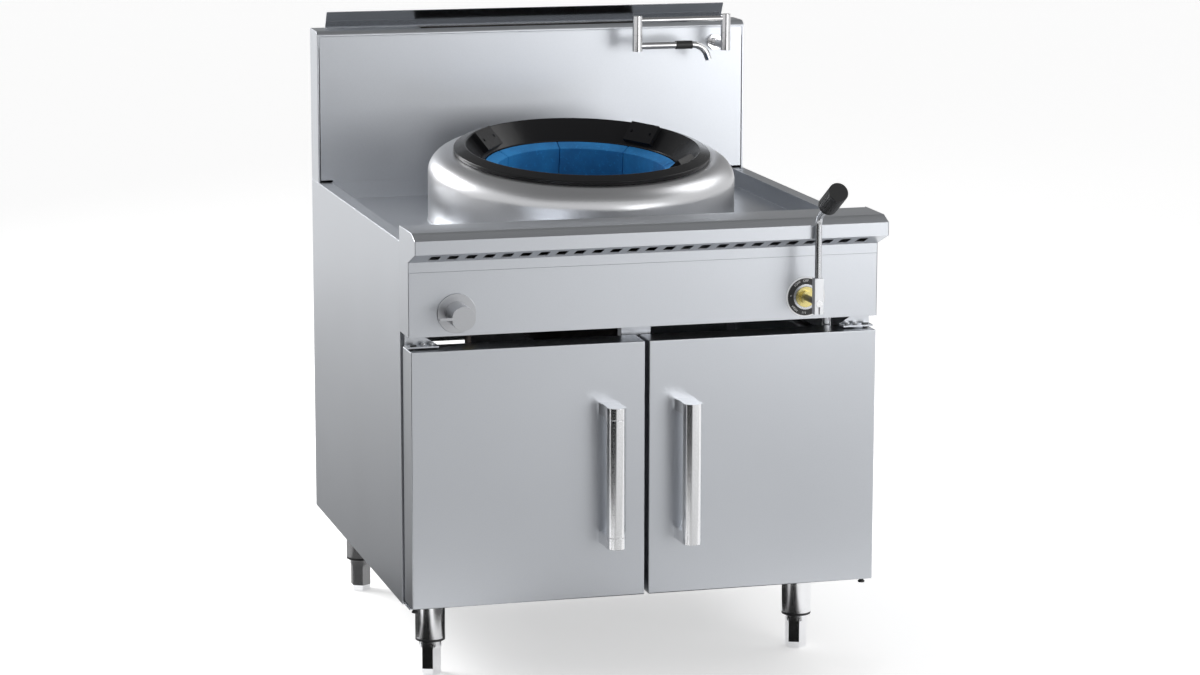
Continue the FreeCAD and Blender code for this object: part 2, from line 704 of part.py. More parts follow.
def burner_shroud():
    """Dark tube round the mixing tube, with a hole for the gas pipe."""
    z = (SHELL_FLOOR_UNDER - SHROUD_LENGTH, SHELL_FLOOR_UNDER)
    tube = upright(SHROUD_R, 0, 0, z).cut(upright(SHROUD_R - SHEET, 0, 0, (z[0] - MARGIN, z[1] + MARGIN)))
    hole = across(PIPE_R + MARGIN, (0, 2 * SHROUD_R), burner_axis_y(CONTROL_Z), CONTROL_Z)
    return on_burner_axis(tube).cut(hole)


def pilot_burner():
    """Pilot with a slotted hood and the flame sensor beside it, both on the furnace floor."""
    floor = FURNACE_FLOOR_H
    top = floor + PILOT_HEIGHT
    stand = upright(PILOT_R, 0, -PILOT_AT, (floor, top))
    hood_y = (-PILOT_AT - PILOT_R, -PILOT_AT + 3 * PILOT_R)
    hood = box((-PILOT_R, PILOT_R), hood_y, (top, top + PILOT_HOOD))
    sensor = upright(SENSOR_R, 4 * PILOT_R, -PILOT_AT, (floor, floor + SENSOR_HEIGHT))
    return [on_burner_axis(joined(stand, hood)), on_burner_axis(sensor)]


# Flue and splashback

def furnace_floor_z(y):
    """Height of the underside of the furnace floor at a depth."""
    lean = math.radians(TILT)
    return RING_Z + SHELL_FLOOR_UNDER / math.cos(lean) + (y - RING_Y) * math.tan(lean)


def flue_duct():
    """Box duct from the furnace floor back to the riser."""
    rear = FLUE_FRONT - SHEET
    front, throat = DUCT_FRONT, DUCT_THROAT_REAR
    outer = [(front, DUCT_BOTTOM), (rear, DUCT_BOTTOM), (rear, DUCT_TOP), (throat, DUCT_TOP),
             (throat, furnace_floor_z(throat)), (front, furnace_floor_z(front))]
    low, high = DUCT_BOTTOM + SHEET, DUCT_TOP - SHEET
    front, throat = front + SHEET, throat - SHEET
    inner = [(front, low), (rear + MARGIN, low), (rear + MARGIN, high), (throat, high),
             (throat, DECK_FLOOR), (front, DECK_FLOOR)]
    return prism(outer, DUCT_HALF).cut(prism(inner, DUCT_HALF - SHEET))


def flue_riser():
    """Flat stack inside the splashback: plates welded at the corners, closed at the foot."""
    z = (DUCT_BOTTOM - 2 * SHEET, SPLASH_TOP - SHEET)
    x = (-FLUE_HALF - SHEET, FLUE_HALF + SHEET)
    inside_y = (FLUE_FRONT, FLUE_REAR)
    port_x = DUCT_HALF - SHEET
    port_y = (FLUE_FRONT - 2 * SHEET, FLUE_REAR)
    port = box((-port_x, port_x), port_y, (DUCT_BOTTOM + SHEET, DUCT_TOP - SHEET))
    front = box(x, (FLUE_FRONT - SHEET, FLUE_FRONT), z).cut(port)
    rear = box(x, (FLUE_REAR, FLUE_REAR + SHEET), z)
    sides = [box((side * FLUE_HALF, side * (FLUE_HALF + SHEET)), inside_y, z) for side in (-1, 1)]
    foot = box((-FLUE_HALF, FLUE_HALF), inside_y, (z[0], z[0] + SHEET))
    return [plate.cut(splashback_casing()) for plate in (front, rear, *sides, foot)]


def casing_rounding(x, inset):
    """Curve of the rounded upper front of the splashback box, moved in by inset."""
    seam = SPLASH_SEAM + SPLASH_SEAM_GAP
    front, top = SPLASH_Y + inset, SPLASH_TOP - inset / 2
    end = Vector(x, SPLASH_Y + SPLASH_ROUND_DEPTH, top)
    return quarter_round(Vector(x, front, seam), Vector(x, front, top), end)


def casing_slice(x, length, inset, corners):
    """Slice of the splashback box: the rounding and the further (y, z) corners, along X."""
    rounding = casing_rounding(x, inset)
    ends = [rounding.Vertexes[-1].Point, rounding.Vertexes[0].Point]
    rest = Part.makePolygon([ends[0]] + [Vector(x, y, z) for y, z in corners] + [ends[1]])
    return Part.Face(Part.Wire([rounding] + rest.Edges)).extrude(Vector(length, 0, 0))


def splashback_casing():
    """Box behind the splashback: sides with narrow front returns, back, top and front lip."""
    seam = SPLASH_SEAM + SPLASH_SEAM_GAP
    lip_bottom = SPLASH_SEAM - SPLASH_ROUND_DEPTH
    width = 2 * PANEL_INNER
    box_corners = [(REAR_Y, SPLASH_TOP), (REAR_Y, DECK_Z), (SPLASH_Y, DECK_Z)]
    outer = casing_slice(-PANEL_INNER, width, 0, box_corners)
    hollow = casing_slice(-PANEL_INNER, width, 2 * SHEET, [(REAR_Y - SHEET, SPLASH_TOP - SHEET),
                          (REAR_Y - SHEET, DECK_Z - MARGIN), (SPLASH_Y + 2 * SHEET, DECK_Z - MARGIN)])
    sides = [casing_slice(x, SHEET, 0, box_corners) for x in (-HALF_WIDTH, PANEL_INNER)]
    open_x = HALF_WIDTH - CASING_RETURN
    window = box((-open_x, open_x), (SPLASH_Y - MARGIN, SPLASH_Y + SHEET), (DECK_Z - MARGIN, seam))
    below_lip = box((-PANEL_INNER, PANEL_INNER), (SPLASH_Y + SHEET, SPLASH_Y + 2 * SHEET),
                    (DECK_Z - MARGIN, lip_bottom))
    slot_z = (SPLASH_TOP - SPLASH_ROUND_DEPTH, SPLASH_TOP + MARGIN)
    slot = box((-FLUE_HALF, FLUE_HALF), (FLUE_FRONT, FLUE_REAR), slot_z)
    return joined(outer.cut([hollow, window, below_lip, slot]), *sides)


def splashback_front():
    """Front skin between the returns of the casing, with folded sides and the tap's hole."""
    half = HALF_WIDTH - CASING_RETURN - SPLASH_SIDE_GAP
    skin_y = (SPLASH_Y, SPLASH_Y + SHEET)
    skin = box((-half, half), skin_y, (SPLASH_BOTTOM, SPLASH_SEAM))
    tongue_x = HALF_WIDTH - RIM_WIDTH - 2 * SHEET
    tongue = box((-tongue_x, tongue_x), skin_y, (DECK_Z, SPLASH_BOTTOM))
    fold_y = (SPLASH_Y, SPLASH_Y + MULLION_DEPTH / 2)
    fold_z = (SPLASH_BOTTOM, SPLASH_SEAM - MULLION_DEPTH)
    folds = [box((side * (half - SHEET), side * half), fold_y, fold_z) for side in (-1, 1)]
    hole = inward(TAP_STEM_R + RUN_GAP, TAP_X, (SPLASH_Y - MARGIN, SPLASH_Y + 2 * SHEET), TAP_STEM_Z)
    return joined(skin, tongue, *folds).cut(hole)


def flue_deflector():
    """Leaning baffle along the rear of the flue slot, with its foot on the casing's top."""
    foot_rear = REAR_Y - DEFLECTOR_REAR
    outline = [(foot_rear - DEFLECTOR_LEAN, SPLASH_TOP + DEFLECTOR_RISE), (foot_rear, SPLASH_TOP),
               (foot_rear - DEFLECTOR_FOOT, SPLASH_TOP)]
    return prism(bent_sheet(outline[::-1], SHEET), DEFLECTOR_HALF)


# Control box

def apron_outline():
    """Outer face of the apron, from its rear foot over the top and round to the strip."""
    return [(APRON_REAR, DECK_Z), (APRON_REAR, APRON_TOP), (APRON_BREAK_Y, APRON_TOP),
            (APRON_FRONT, APRON_TOP - APRON_BREAK_DROP), (APRON_FRONT, APRON_NOSE_Z),
            (PANEL_Y, STRIP_TOP), (PANEL_Y, STRIP_BOTTOM)]


def vent_slot(x):
    """Slot through the sloped underside of the apron, longer down the slope."""
    slope = Vector(0, PANEL_Y - APRON_FRONT, STRIP_TOP - APRON_NOSE_Z)
    along = Vector(0, slope.y, slope.z).normalize()
    through = Vector(0, -along.z, along.y) * (4 * SHEET)
    middle = Vector(x, APRON_FRONT, APRON_NOSE_Z) + slope / 2 - through / 2
    half = along * (SLOT_LENGTH / 2)
    side = Vector(SLOT_WIDTH / 2, 0, 0)
    corners = [middle - half - side, middle - half + side, middle + half + side, middle + half - side]
    return closed_face(corners).extrude(through)


def apron():
    first = -SLOT_PITCH * (SLOT_COUNT - 1) / 2
    slots = [vent_slot(first + SLOT_PITCH * index) for index in range(SLOT_COUNT)]
    return prism(bent_sheet(apron_outline(), SHEET), PANEL_INNER).cut(slots)


def end_cap(side):
    """Plate that closes one end of the control box, from the apron down to the doors."""
    outline = apron_outline()[2:6] + [(PANEL_Y, PANEL_BOTTOM), (FRONT_Y, PANEL_BOTTOM), (FRONT_Y, APRON_TOP)]
    x = side * PANEL_INNER
    return closed_face([Vector(x, y, z) for y, z in outline]).extrude(Vector(side * SHEET, 0, 0))


def control_panel():
    """Front panel, its lap behind the apron's strip and its floor back to the cabinet."""
    span = (-PANEL_INNER, PANEL_INNER)
    behind = PANEL_Y + SHEET
    face = box(span, (PANEL_Y, behind), (PANEL_BOTTOM, PANEL_TOP))
    lap = box(span, (behind, behind + SHEET), (PANEL_TOP - PANEL_LAP, STRIP_BOTTOM + PANEL_LAP))
    floor = box(span, (PANEL_Y, FRONT_Y + MULLION_DEPTH), (PANEL_BOTTOM, PANEL_BOTTOM + SHEET))
    hole_y = (PANEL_Y - MARGIN, behind + MARGIN)
    hole_z = (PANEL_BOTTOM - MARGIN, PANEL_BOTTOM + 2 * SHEET)
    holes = [inward(BEZEL_R, DIAL_X, hole_y, CONTROL_Z),
             inward(WATER_NOSE_R + RUN_GAP, KNOB_X, hole_y, CONTROL_Z),
             upright(UNION_R + MARGIN, GAS_PIPE_X, GAS_PIPE_Y, hole_z),
             upright(UNION_R + MARGIN, WATER_PIPE_X, WATER_PIPE_Y, hole_z)]
    return joined(face, lap, floor).cut(holes)


# Hinges and doors

def upper_bracket():
    """Right upper hinge bracket: pin plate and a tapered web up to the control panel."""
    inner = PANEL_INNER - BRACKET_UPPER_WIDTH
    z = (BRACKET_UPPER_Z, BRACKET_UPPER_Z + BRACKET_PLATE)
    plate = box((inner, PANEL_INNER), (BRACKET_FRONT, WEB_Y), z)
    corners = [(inner, z[1]), (PANEL_INNER, z[1]), (PANEL_INNER, PANEL_BOTTOM),
               (PANEL_INNER - BRACKET_NECK, PANEL_BOTTOM)]
    web = closed_face([Vector(x, WEB_Y - SHEET, h) for x, h in corners]).extrude(Vector(0, SHEET, 0))
    return joined(plate, web).cut(upright(PIN_R, HINGE_X, HINGE_Y, (z[0] - MARGIN, z[1] + MARGIN)))


def lower_bracket():
    z = (BRACKET_LOWER_Z, BRACKET_LOWER_Z + BRACKET_PLATE)
    plate = box((PANEL_INNER - BRACKET_LOWER_WIDTH, PANEL_INNER), (BRACKET_FRONT, FRONT_Y), z)
    return plate.cut(upright(PIN_R, HINGE_X, HINGE_Y, (z[0] - MARGIN, z[1] + MARGIN)))


def hinge_pins():
    """Right upper and lower pins, each with a low head outside its bracket."""
    upper_top = BRACKET_UPPER_Z + BRACKET_PLATE
    upper = joined(upright(PIN_R, HINGE_X, HINGE_Y, (DOOR_TOP - PIN_GRIP, upper_top)),
                   upright(PIN_HEAD_R, HINGE_X, HINGE_Y, (upper_top, upper_top + PIN_HEAD)))
    lower_foot = BRACKET_LOWER_Z - PIN_DROP
    lower = joined(upright(PIN_HEAD_R, HINGE_X, HINGE_Y, (lower_foot - PIN_FOOT, lower_foot)),
                   upright(PIN_R, HINGE_X, HINGE_Y, (lower_foot, DOOR_BOTTOM + PIN_GRIP)))
    return [upper, lower]


def door_bounds():
    return (DOOR_MIDDLE_GAP, HALF_WIDTH - DOOR_EDGE), (DOOR_FRONT, DOOR_BACK), (DOOR_BOTTOM, DOOR_TOP)


def door_skin():
    """Right door: a folded box, open at the back, with holes for the hinge bushes."""
    x, y, z = door_bounds()
    outer = box(x, y, z)
    front_edges = [edge for edge in outer.Edges if edge.BoundBox.YMin < y[1] - MARGIN]
    outer = outer.makeFillet(DOOR_ROUND, front_edges)
    wall = DOOR_SHEET
    inner = box((x[0] + wall, x[1] - wall), (y[0] + wall, y[1] + MARGIN), (z[0] + wall, z[1] - wall))
    bushes = upright(BUSH_R, HINGE_X, HINGE_Y, (z[0] - MARGIN, z[1] + MARGIN))
    return outer.cut([inner, bushes])


def door_liner():
    """Inner panel and the two hinge bushes of the right door."""
    x, y, z = door_bounds()
    wall = DOOR_SHEET
    plate = box((x[0] + wall, x[1] - wall), (y[1] - wall, y[1]), (z[0] + wall, z[1] - wall))
    bushes = []
    for low, high in ((z[0], z[0] + BUSH_LENGTH), (z[1] - BUSH_LENGTH, z[1])):
        bush = upright(BUSH_R, HINGE_X, HINGE_Y, (low, high))
        bushes.append(bush.cut(upright(PIN_R + FIT, HINGE_X, HINGE_Y, (low - MARGIN, high + MARGIN))))
    return [plate] + bushes


def handle_end(z):
    """Cast end of a bar handle: round about the bar, drawn in a little and spread on the door."""
    reach = DOOR_FRONT - HANDLE_Y
    waist = [(HANDLE_R * width, DOOR_FRONT - reach * share) for share, width in HANDLE_WAIST]
    waist = [(HANDLE_FOOT_HALF, DOOR_FRONT)] + waist + [(HANDLE_R, HANDLE_Y)]
    sides = []
    for side in (1, -1):
        curve = Part.BSplineCurve()
        curve.interpolate([Vector(HANDLE_X + side * out, y, z[0]) for out, y in waist])
        sides.append(curve.toShape())
    nose = Part.Arc(Vector(HANDLE_X + HANDLE_R, HANDLE_Y, z[0]), Vector(HANDLE_X, HANDLE_Y - HANDLE_R, z[0]),
                    Vector(HANDLE_X - HANDLE_R, HANDLE_Y, z[0])).toShape()
    foot_line = Part.LineSegment(Vector(HANDLE_X - HANDLE_FOOT_HALF, DOOR_FRONT, z[0]),
                                 Vector(HANDLE_X + HANDLE_FOOT_HALF, DOOR_FRONT, z[0])).toShape()
    outline = Part.Wire([sides[0], nose, sides[1], foot_line])
    return Part.Face(outline).extrude(Vector(0, 0, z[1] - z[0]))


def door_handle():
    """Bar between two cast ends."""
    low, high = HANDLE_Z
    bar_z = (low + HANDLE_END, high - HANDLE_END)
    bar = upright(HANDLE_R, HANDLE_X, HANDLE_Y, bar_z)
    bore = upright(HANDLE_R - HANDLE_WALL, HANDLE_X, HANDLE_Y, (bar_z[0] - MARGIN, bar_z[1] + MARGIN))
    return [bar.cut(bore), handle_end((low, bar_z[0])), handle_end((bar_z[1], high))]


# Gas control

def gas_valve_body():
    """Brass valve behind the panel: block, nose through the bezel, and the inlet elbow."""
    x = (DIAL_X - VALVE_BLOCK, DIAL_X + VALVE_BLOCK)
    z = (CONTROL_Z - VALVE_BLOCK, CONTROL_Z + VALVE_BLOCK)
    block_front = PANEL_Y + VALVE_SET_BACK
    block = box(x, (block_front, VALVE_REAR), z)
    shoulder = inward(BEZEL_R - RUN_GAP, DIAL_X, (PANEL_Y - VALVE_SHOULDER, block_front), CONTROL_Z)
    nose = inward(2 * SPINDLE_R, DIAL_X, (PANEL_Y - VALVE_NOSE, PANEL_Y), CONTROL_Z)
    bore = inward(SPINDLE_R + FIT, DIAL_X, (PANEL_Y - 2 * VALVE_BLOCK, SPINDLE_REAR + RUN_GAP), CONTROL_Z)
    elbow = pipe([(GAS_PIPE_X, GAS_PIPE_Y, UNION_Z[1]), (GAS_PIPE_X, GAS_PIPE_Y, CONTROL_Z),
                  (x[1], GAS_PIPE_Y, CONTROL_Z)], UNION_R, 1.5 * UNION_R)
    return [joined(block, shoulder, nose).cut(bore), elbow]


def dial_ring():
    ring = inward(DIAL_R, DIAL_X, (PANEL_Y - DIAL_THICK, PANEL_Y), CONTROL_Z)
    return ring.cut(inward(DIAL_INNER_R, DIAL_X, (PANEL_Y - 2 * DIAL_THICK, PANEL_Y + MARGIN), CONTROL_Z))


def dial_bezel():
    ring = inward(DIAL_INNER_R, DIAL_X, (PANEL_Y - 2 * DIAL_THICK, PANEL_Y), CONTROL_Z)
    return ring.cut(inward(BEZEL_R, DIAL_X, (PANEL_Y - 3 * DIAL_THICK, PANEL_Y + MARGIN), CONTROL_Z))


def gas_union():
    """Pale banded union between the brass elbow and the supply pipe."""
    low, high = UNION_Z
    third = (high - low) / 3
    bands = [upright(UNION_R, GAS_PIPE_X, GAS_PIPE_Y, (low, low + third)),
             upright(UNION_R - UNION_GROOVE, GAS_PIPE_X, GAS_PIPE_Y, (low + third, high - third)),
             upright(UNION_R, GAS_PIPE_X, GAS_PIPE_Y, (high - third, high))]
    return joined(*bands)


def gas_supply_pipe():
    return pipe([(GAS_PIPE_X, INLET_INNER_Y, GAS_INLET_Z), (GAS_PIPE_X, GAS_PIPE_Y, GAS_INLET_Z),
                 (GAS_PIPE_X, GAS_PIPE_Y, UNION_Z[0])], PIPE_R, 1.5 * PIPE_R)


def rear_inlet(x, z):
    """Threaded stub through the back panel with its lock nut."""
    stub = inward(INLET_R, x, (INLET_INNER_Y, INLET_END_Y), z)
    nut_y = BACK_PANEL_Y + SHEET
    nut = inward(INLET_NUT_R, x, (nut_y, nut_y + INLET_NUT), z)
    return joined(stub, nut).cut(inward(INLET_BORE_R, x, (BACK_PANEL_Y, INLET_END_Y + MARGIN), z))


def burner_pipe():
    middle = burner_axis_y(CONTROL_Z)
    return pipe([(DIAL_X, VALVE_REAR, CONTROL_Z), (DIAL_X, middle, CONTROL_Z),
                 (BURNER_BLOCK, middle, CONTROL_Z)], PIPE_R, PIPE_BEND)


def lever_spindle():
    return inward(SPINDLE_R, DIAL_X, (LEVER_FRONT, SPINDLE_REAR), CONTROL_Z)


def lever_block():
    """Clamp block on the spindle, split below it and drawn together by a screw."""
    y = (LEVER_FRONT, LEVER_FRONT + LEVER_BLOCK_DEPTH)
    half = LEVER_BLOCK_WIDTH / 2
    block = box((DIAL_X - half, DIAL_X + half), y, LEVER_BLOCK_Z)
    through_y = (y[0] - MARGIN, y[1] + MARGIN)
    split_x = (DIAL_X - CLAMP_SLOT / 2, DIAL_X + CLAMP_SLOT / 2)
    split = box(split_x, through_y, (LEVER_BLOCK_Z[0] - MARGIN, CONTROL_Z))
    socket_z = (LEVER_BLOCK_Z[1] - ROD_SOCKET, LEVER_BLOCK_Z[1] + MARGIN)
    socket = upright(LEVER_ROD_R, DIAL_X, LEVER_Y, socket_z)
    left, right = DIAL_X - half, DIAL_X + half
    screw_hole = across(CLAMP_SCREW_R, (left - MARGIN, right + MARGIN), LEVER_Y, CLAMP_SCREW_Z)
    block = block.cut([inward(SPINDLE_R, DIAL_X, through_y, CONTROL_Z), split, socket, screw_hole])
    screw = joined(across(CLAMP_SCREW_R, (left, right), LEVER_Y, CLAMP_SCREW_Z),
                   across(CLAMP_HEAD_R, (right, right + CLAMP_HEAD), LEVER_Y, CLAMP_SCREW_Z))
    return [block, screw]


def lever_point(distance):
    """Point of the lever's centre line at a distance beyond its bend."""
    rise = math.radians(LEVER_RISE)
    return (DIAL_X, LEVER_Y - distance * math.cos(rise), LEVER_BEND_Z + distance * math.sin(rise))


def lever_rod():
    return pipe([(DIAL_X, LEVER_Y, LEVER_BLOCK_Z[1] - ROD_SOCKET), (DIAL_X, LEVER_Y, LEVER_BEND_Z),
                 lever_point(LEVER_REACH - GRIP_END)], LEVER_ROD_R, LEVER_BEND_R)


def lever_grip():
    """Ribbed plastic grip pushed over the end of the rod."""
    grip = Part.makeCylinder(GRIP_R, GRIP_LENGTH)
    rims = [edge for edge in grip.Edges if edge.Length > 2 * math.pi * GRIP_R - MARGIN]
    grip = grip.makeChamfer(GRIP_CHAMFER, rims)
    grooves = []
    for index in range(GRIP_RIBS):
        angle = 2 * math.pi * index / GRIP_RIBS
        groove_z = (2 * GRIP_CHAMFER, GRIP_LENGTH - 2 * GRIP_CHAMFER)
        grooves.append(upright(GRIP_GROOVE_R, GRIP_R * math.cos(angle), GRIP_R * math.sin(angle), groove_z))
    bore = upright(LEVER_ROD_R, 0, 0, (-MARGIN, GRIP_LENGTH - GRIP_END))
    grip = grip.cut(grooves + [bore])
    grip.rotate(Vector(0, 0, 0), Vector(1, 0, 0), 90 - LEVER_RISE)
    grip.translate(Vector(*lever_point(LEVER_REACH - GRIP_LENGTH)))
    return grip


# Water control and tap

def water_valve_body():
    """Brass valve behind the panel, its nose through the knob plate, and the lower fitting."""
    x = (KNOB_X - WATER_BLOCK, WATER_PIPE_X + UNION_R)
    z = (CONTROL_Z - WATER_BLOCK, CONTROL_Z + WATER_BLOCK)
    block_front = PANEL_Y + VALVE_SET_BACK
    block = box(x, (block_front, WATER_REAR), z)
    nose = inward(WATER_NOSE_R, KNOB_X, (PLATE_FRONT, block_front), CONTROL_Z)
    bore = inward(KNOB_STEM_R + FIT, KNOB_X, (PLATE_FRONT - MARGIN, PANEL_Y + KNOB_BORE), CONTROL_Z)
    fitting = upright(UNION_R, WATER_PIPE_X, WATER_PIPE_Y, (PANEL_BOTTOM - WATER_FITTING_FOOT, z[0]))
    return joined(block, nose, fitting).cut(bore)


def knob_plate():
    plate = inward(KNOB_PLATE_R, KNOB_X, (PLATE_FRONT, PANEL_Y), CONTROL_Z)
    return plate.cut(inward(WATER_NOSE_R, KNOB_X, (PLATE_FRONT - MARGIN, PANEL_Y + MARGIN), CONTROL_Z))


def tap_knob():
    """Round knob with a pointer rib on its face and the spindle behind it."""
    grip = inward(KNOB_R, KNOB_X, (KNOB_FRONT, PLATE_FRONT - RUN_GAP), CONTROL_Z)
    pointer = box((KNOB_X - POINTER_REACH, KNOB_X), (KNOB_FRONT, KNOB_FRONT + POINTER_DEPTH),
                  (CONTROL_Z - POINTER_HALF, CONTROL_Z + POINTER_HALF))
    stem = inward(KNOB_STEM_R, KNOB_X, (PLATE_FRONT - MARGIN, PANEL_Y + KNOB_STEM), CONTROL_Z)
    return joined(grip, pointer, stem)


def water_supply_pipe():
    return pipe([(WATER_PIPE_X, INLET_INNER_Y, WATER_INLET_Z), (WATER_PIPE_X, WATER_PIPE_Y, WATER_INLET_Z),
                 (WATER_PIPE_X, WATER_PIPE_Y, PANEL_BOTTOM - WATER_FITTING_FOOT)], WATER_PIPE_R, 2 * PIPE_R)


def tap_riser_pipe():
    """Pipe from the valve back under the deck, across, and up inside the splashback."""
    return pipe([(KNOB_X, WATER_REAR, RISER_Z), (KNOB_X, RISER_CROSS_Y, RISER_Z),
                 (TAP_X, RISER_CROSS_Y, RISER_Z), (TAP_X, RISER_UP_Y, RISER_Z),
                 (TAP_X, RISER_UP_Y, TAP_STEM_Z - TAP_ELBOW)], WATER_PIPE_R, PIPE_BEND)


def tap_escutcheon():
    """Eight-sided plate where the tap's stem leaves the splashback."""
    corners = []
    for index in range(ESCUTCHEON_SIDES):
        angle = 2 * math.pi * (index + 0.5) / ESCUTCHEON_SIDES
        corners.append(Vector(TAP_X + ESCUTCHEON_R * math.cos(angle), SPLASH_Y - ESCUTCHEON,
                              TAP_STEM_Z + ESCUTCHEON_R * math.sin(angle)))
    plate = closed_face(corners).extrude(Vector(0, ESCUTCHEON, 0))
    return plate.cut(inward(TAP_STEM_R, TAP_X, (SPLASH_Y - 2 * ESCUTCHEON, SPLASH_Y + MARGIN), TAP_STEM_Z))


def tap_stem():
    """Stem with the fixed lower post and its pivot pin, and the elbow behind the skin."""
    stem = inward(TAP_STEM_R, TAP_X, (TAP_Y, TAP_ELBOW_Y), TAP_STEM_Z)
    post = upright(TAP_POST_R, TAP_X, TAP_Y, (TAP_POST_FOOT, TAP_SPLIT_Z))
    pivot = upright(TAP_PIVOT_R, TAP_X, TAP_Y, (TAP_SPLIT_Z, TAP_SPLIT_Z + TAP_PIVOT))
    elbow = box((TAP_X - TAP_ELBOW, TAP_X + TAP_ELBOW), (TAP_ELBOW_Y, RISER_UP_Y + TAP_ELBOW),
                (TAP_STEM_Z - TAP_ELBOW, TAP_STEM_Z + TAP_ELBOW))
    return [joined(stem, post, pivot), elbow]


def tap_inner_arm():
    """Upper arm: a post that turns on the stem, a tube and a post with its own pivot pin."""
    foot = TAP_SPLIT_Z + RUN_GAP
    near = upright(TAP_POST_R, TAP_X, TAP_Y, (foot, TAP_POST_TOP))
    far = upright(TAP_POST_R, TAP_FAR_X, TAP_Y, (foot, TAP_POST_TOP))
    tube = across(TAP_UPPER_R, (TAP_FAR_X, TAP_X), TAP_Y, TAP_UPPER_Z)
    pivot = upright(TAP_PIVOT_R, TAP_FAR_X, TAP_Y, (TAP_SPLIT_Z - TAP_PIVOT_DOWN, foot))
    bore = upright(TAP_PIVOT_R + FIT, TAP_X, TAP_Y, (foot - MARGIN, TAP_SPLIT_Z + TAP_PIVOT + RUN_GAP))
    return joined(near, far, tube, pivot).cut(bore)


def tap_outer_arm():
    """Lower arm: a post, a tube and the spout that bends down from it."""
    post = upright(TAP_POST_R, TAP_FAR_X, TAP_Y, (TAP_FAR_FOOT, TAP_SPLIT_Z))
    tube = pipe([(TAP_FAR_X, TAP_Y, TAP_LOWER_Z), (SPOUT_X[0], TAP_Y, TAP_LOWER_Z),
                 (SPOUT_X[1], TAP_Y, SPOUT_END_Z)], TAP_LOWER_R, SPOUT_BEND)
    bore_z = (TAP_SPLIT_Z - TAP_PIVOT_DOWN - RUN_GAP, TAP_SPLIT_Z + MARGIN)
    return joined(post, tube).cut(upright(TAP_PIVOT_R + FIT, TAP_FAR_X, TAP_Y, bore_z))


def tap_sleeve():
    sleeve = across(SLEEVE_R, SLEEVE_X, TAP_Y, TAP_LOWER_Z)
    return sleeve.cut(across(TAP_LOWER_R, (SLEEVE_X[0] - MARGIN, SLEEVE_X[1] + MARGIN), TAP_Y, TAP_LOWER_Z))


save("side_panel_right", side_panel())
save("side_panel_left", mirrored(side_panel()))
save("back_panel", back_panel())
save("base_frame", base_frame())
save("base_shelf", base_shelf())
save("centre_mullion", centre_mullion())
save("door_catches", *door_catches())
save("leg_tubes", *[piece(x, y) for x, y in leg_places() for piece in (leg_tube, leg_socket)])
save("leg_collars", *[leg_collar(x, y) for x, y in leg_places()])
for place, (leg_x, leg_y) in zip(("front_left", "front_right", "rear_left", "rear_right"), leg_places()):
    save("foot_" + place, foot(leg_x, leg_y))
save("deck_tray", deck_tray())
save("wok_collar", wok_collar())
save("wok_ring", wok_ring())
save("wok_lugs", *wok_lugs())
save("furnace_shell", furnace_shell())
save("refractory_lining", refractory_lining())
save("burner_body", burner_body())
save("burner_jets", *burner_jets())
save("burner_shroud", burner_shroud())
save("burner_pipe", burner_pipe())
save("pilot_burner", *pilot_burner())
save("flue_duct", flue_duct(), *flue_riser())
save("splashback_casing", splashback_casing())
save("splashback_front", splashback_front())
save("flue_deflector", flue_deflector())
save("apron", apron())
save("control_box_ends", end_cap(-1), end_cap(1))
save("control_panel", control_panel())
brackets = [upper_bracket(), lower_bracket()]
save("hinge_brackets", *brackets, *[mirrored(bracket) for bracket in brackets])
save("hinge_pins", *hinge_pins(), *[mirrored(pin) for pin in hinge_pins()])
save("door_skin_right", door_skin())
save("door_skin_left", mirrored(door_skin()))
save("door_liner_right", *door_liner())
save("door_liner_left", *[mirrored(piece) for piece in door_liner()])
save("door_handle_right", *door_handle())
save("door_handle_left", *[mirrored(piece) for piece in door_handle()])
save("gas_valve_body", *gas_valve_body())
save("dial_ring", dial_ring())
save("dial_bezel", dial_bezel())
save("gas_union", gas_union())
save("gas_supply_pipe", gas_supply_pipe())
save("gas_inlet", rear_inlet(GAS_PIPE_X, GAS_INLET_Z))
save("lever_spindle", lever_spindle())
save("lever_block", *lever_block())
save("lever_rod", lever_rod())
save("lever_grip", lever_grip())
save("water_valve_body", water_valve_body())
save("knob_plate", knob_plate())
save("tap_knob", tap_knob())
save("water_supply_pipe", water_supply_pipe())
save("water_inlet", rear_inlet(WATER_PIPE_X, WATER_INLET_Z))
save("tap_riser_pipe", tap_riser_pipe())
save("tap_escutcheon", tap_escutcheon())
save("tap_stem", *tap_stem())
save("tap_inner_arm", tap_inner_arm())
save("tap_outer_arm", tap_outer_arm())
save("tap_sleeve", tap_sleeve())

print("y shift", round(Y_SHIFT, 4))
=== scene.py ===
import math

import bmesh
import bpy
from mathutils import Matrix, Vector


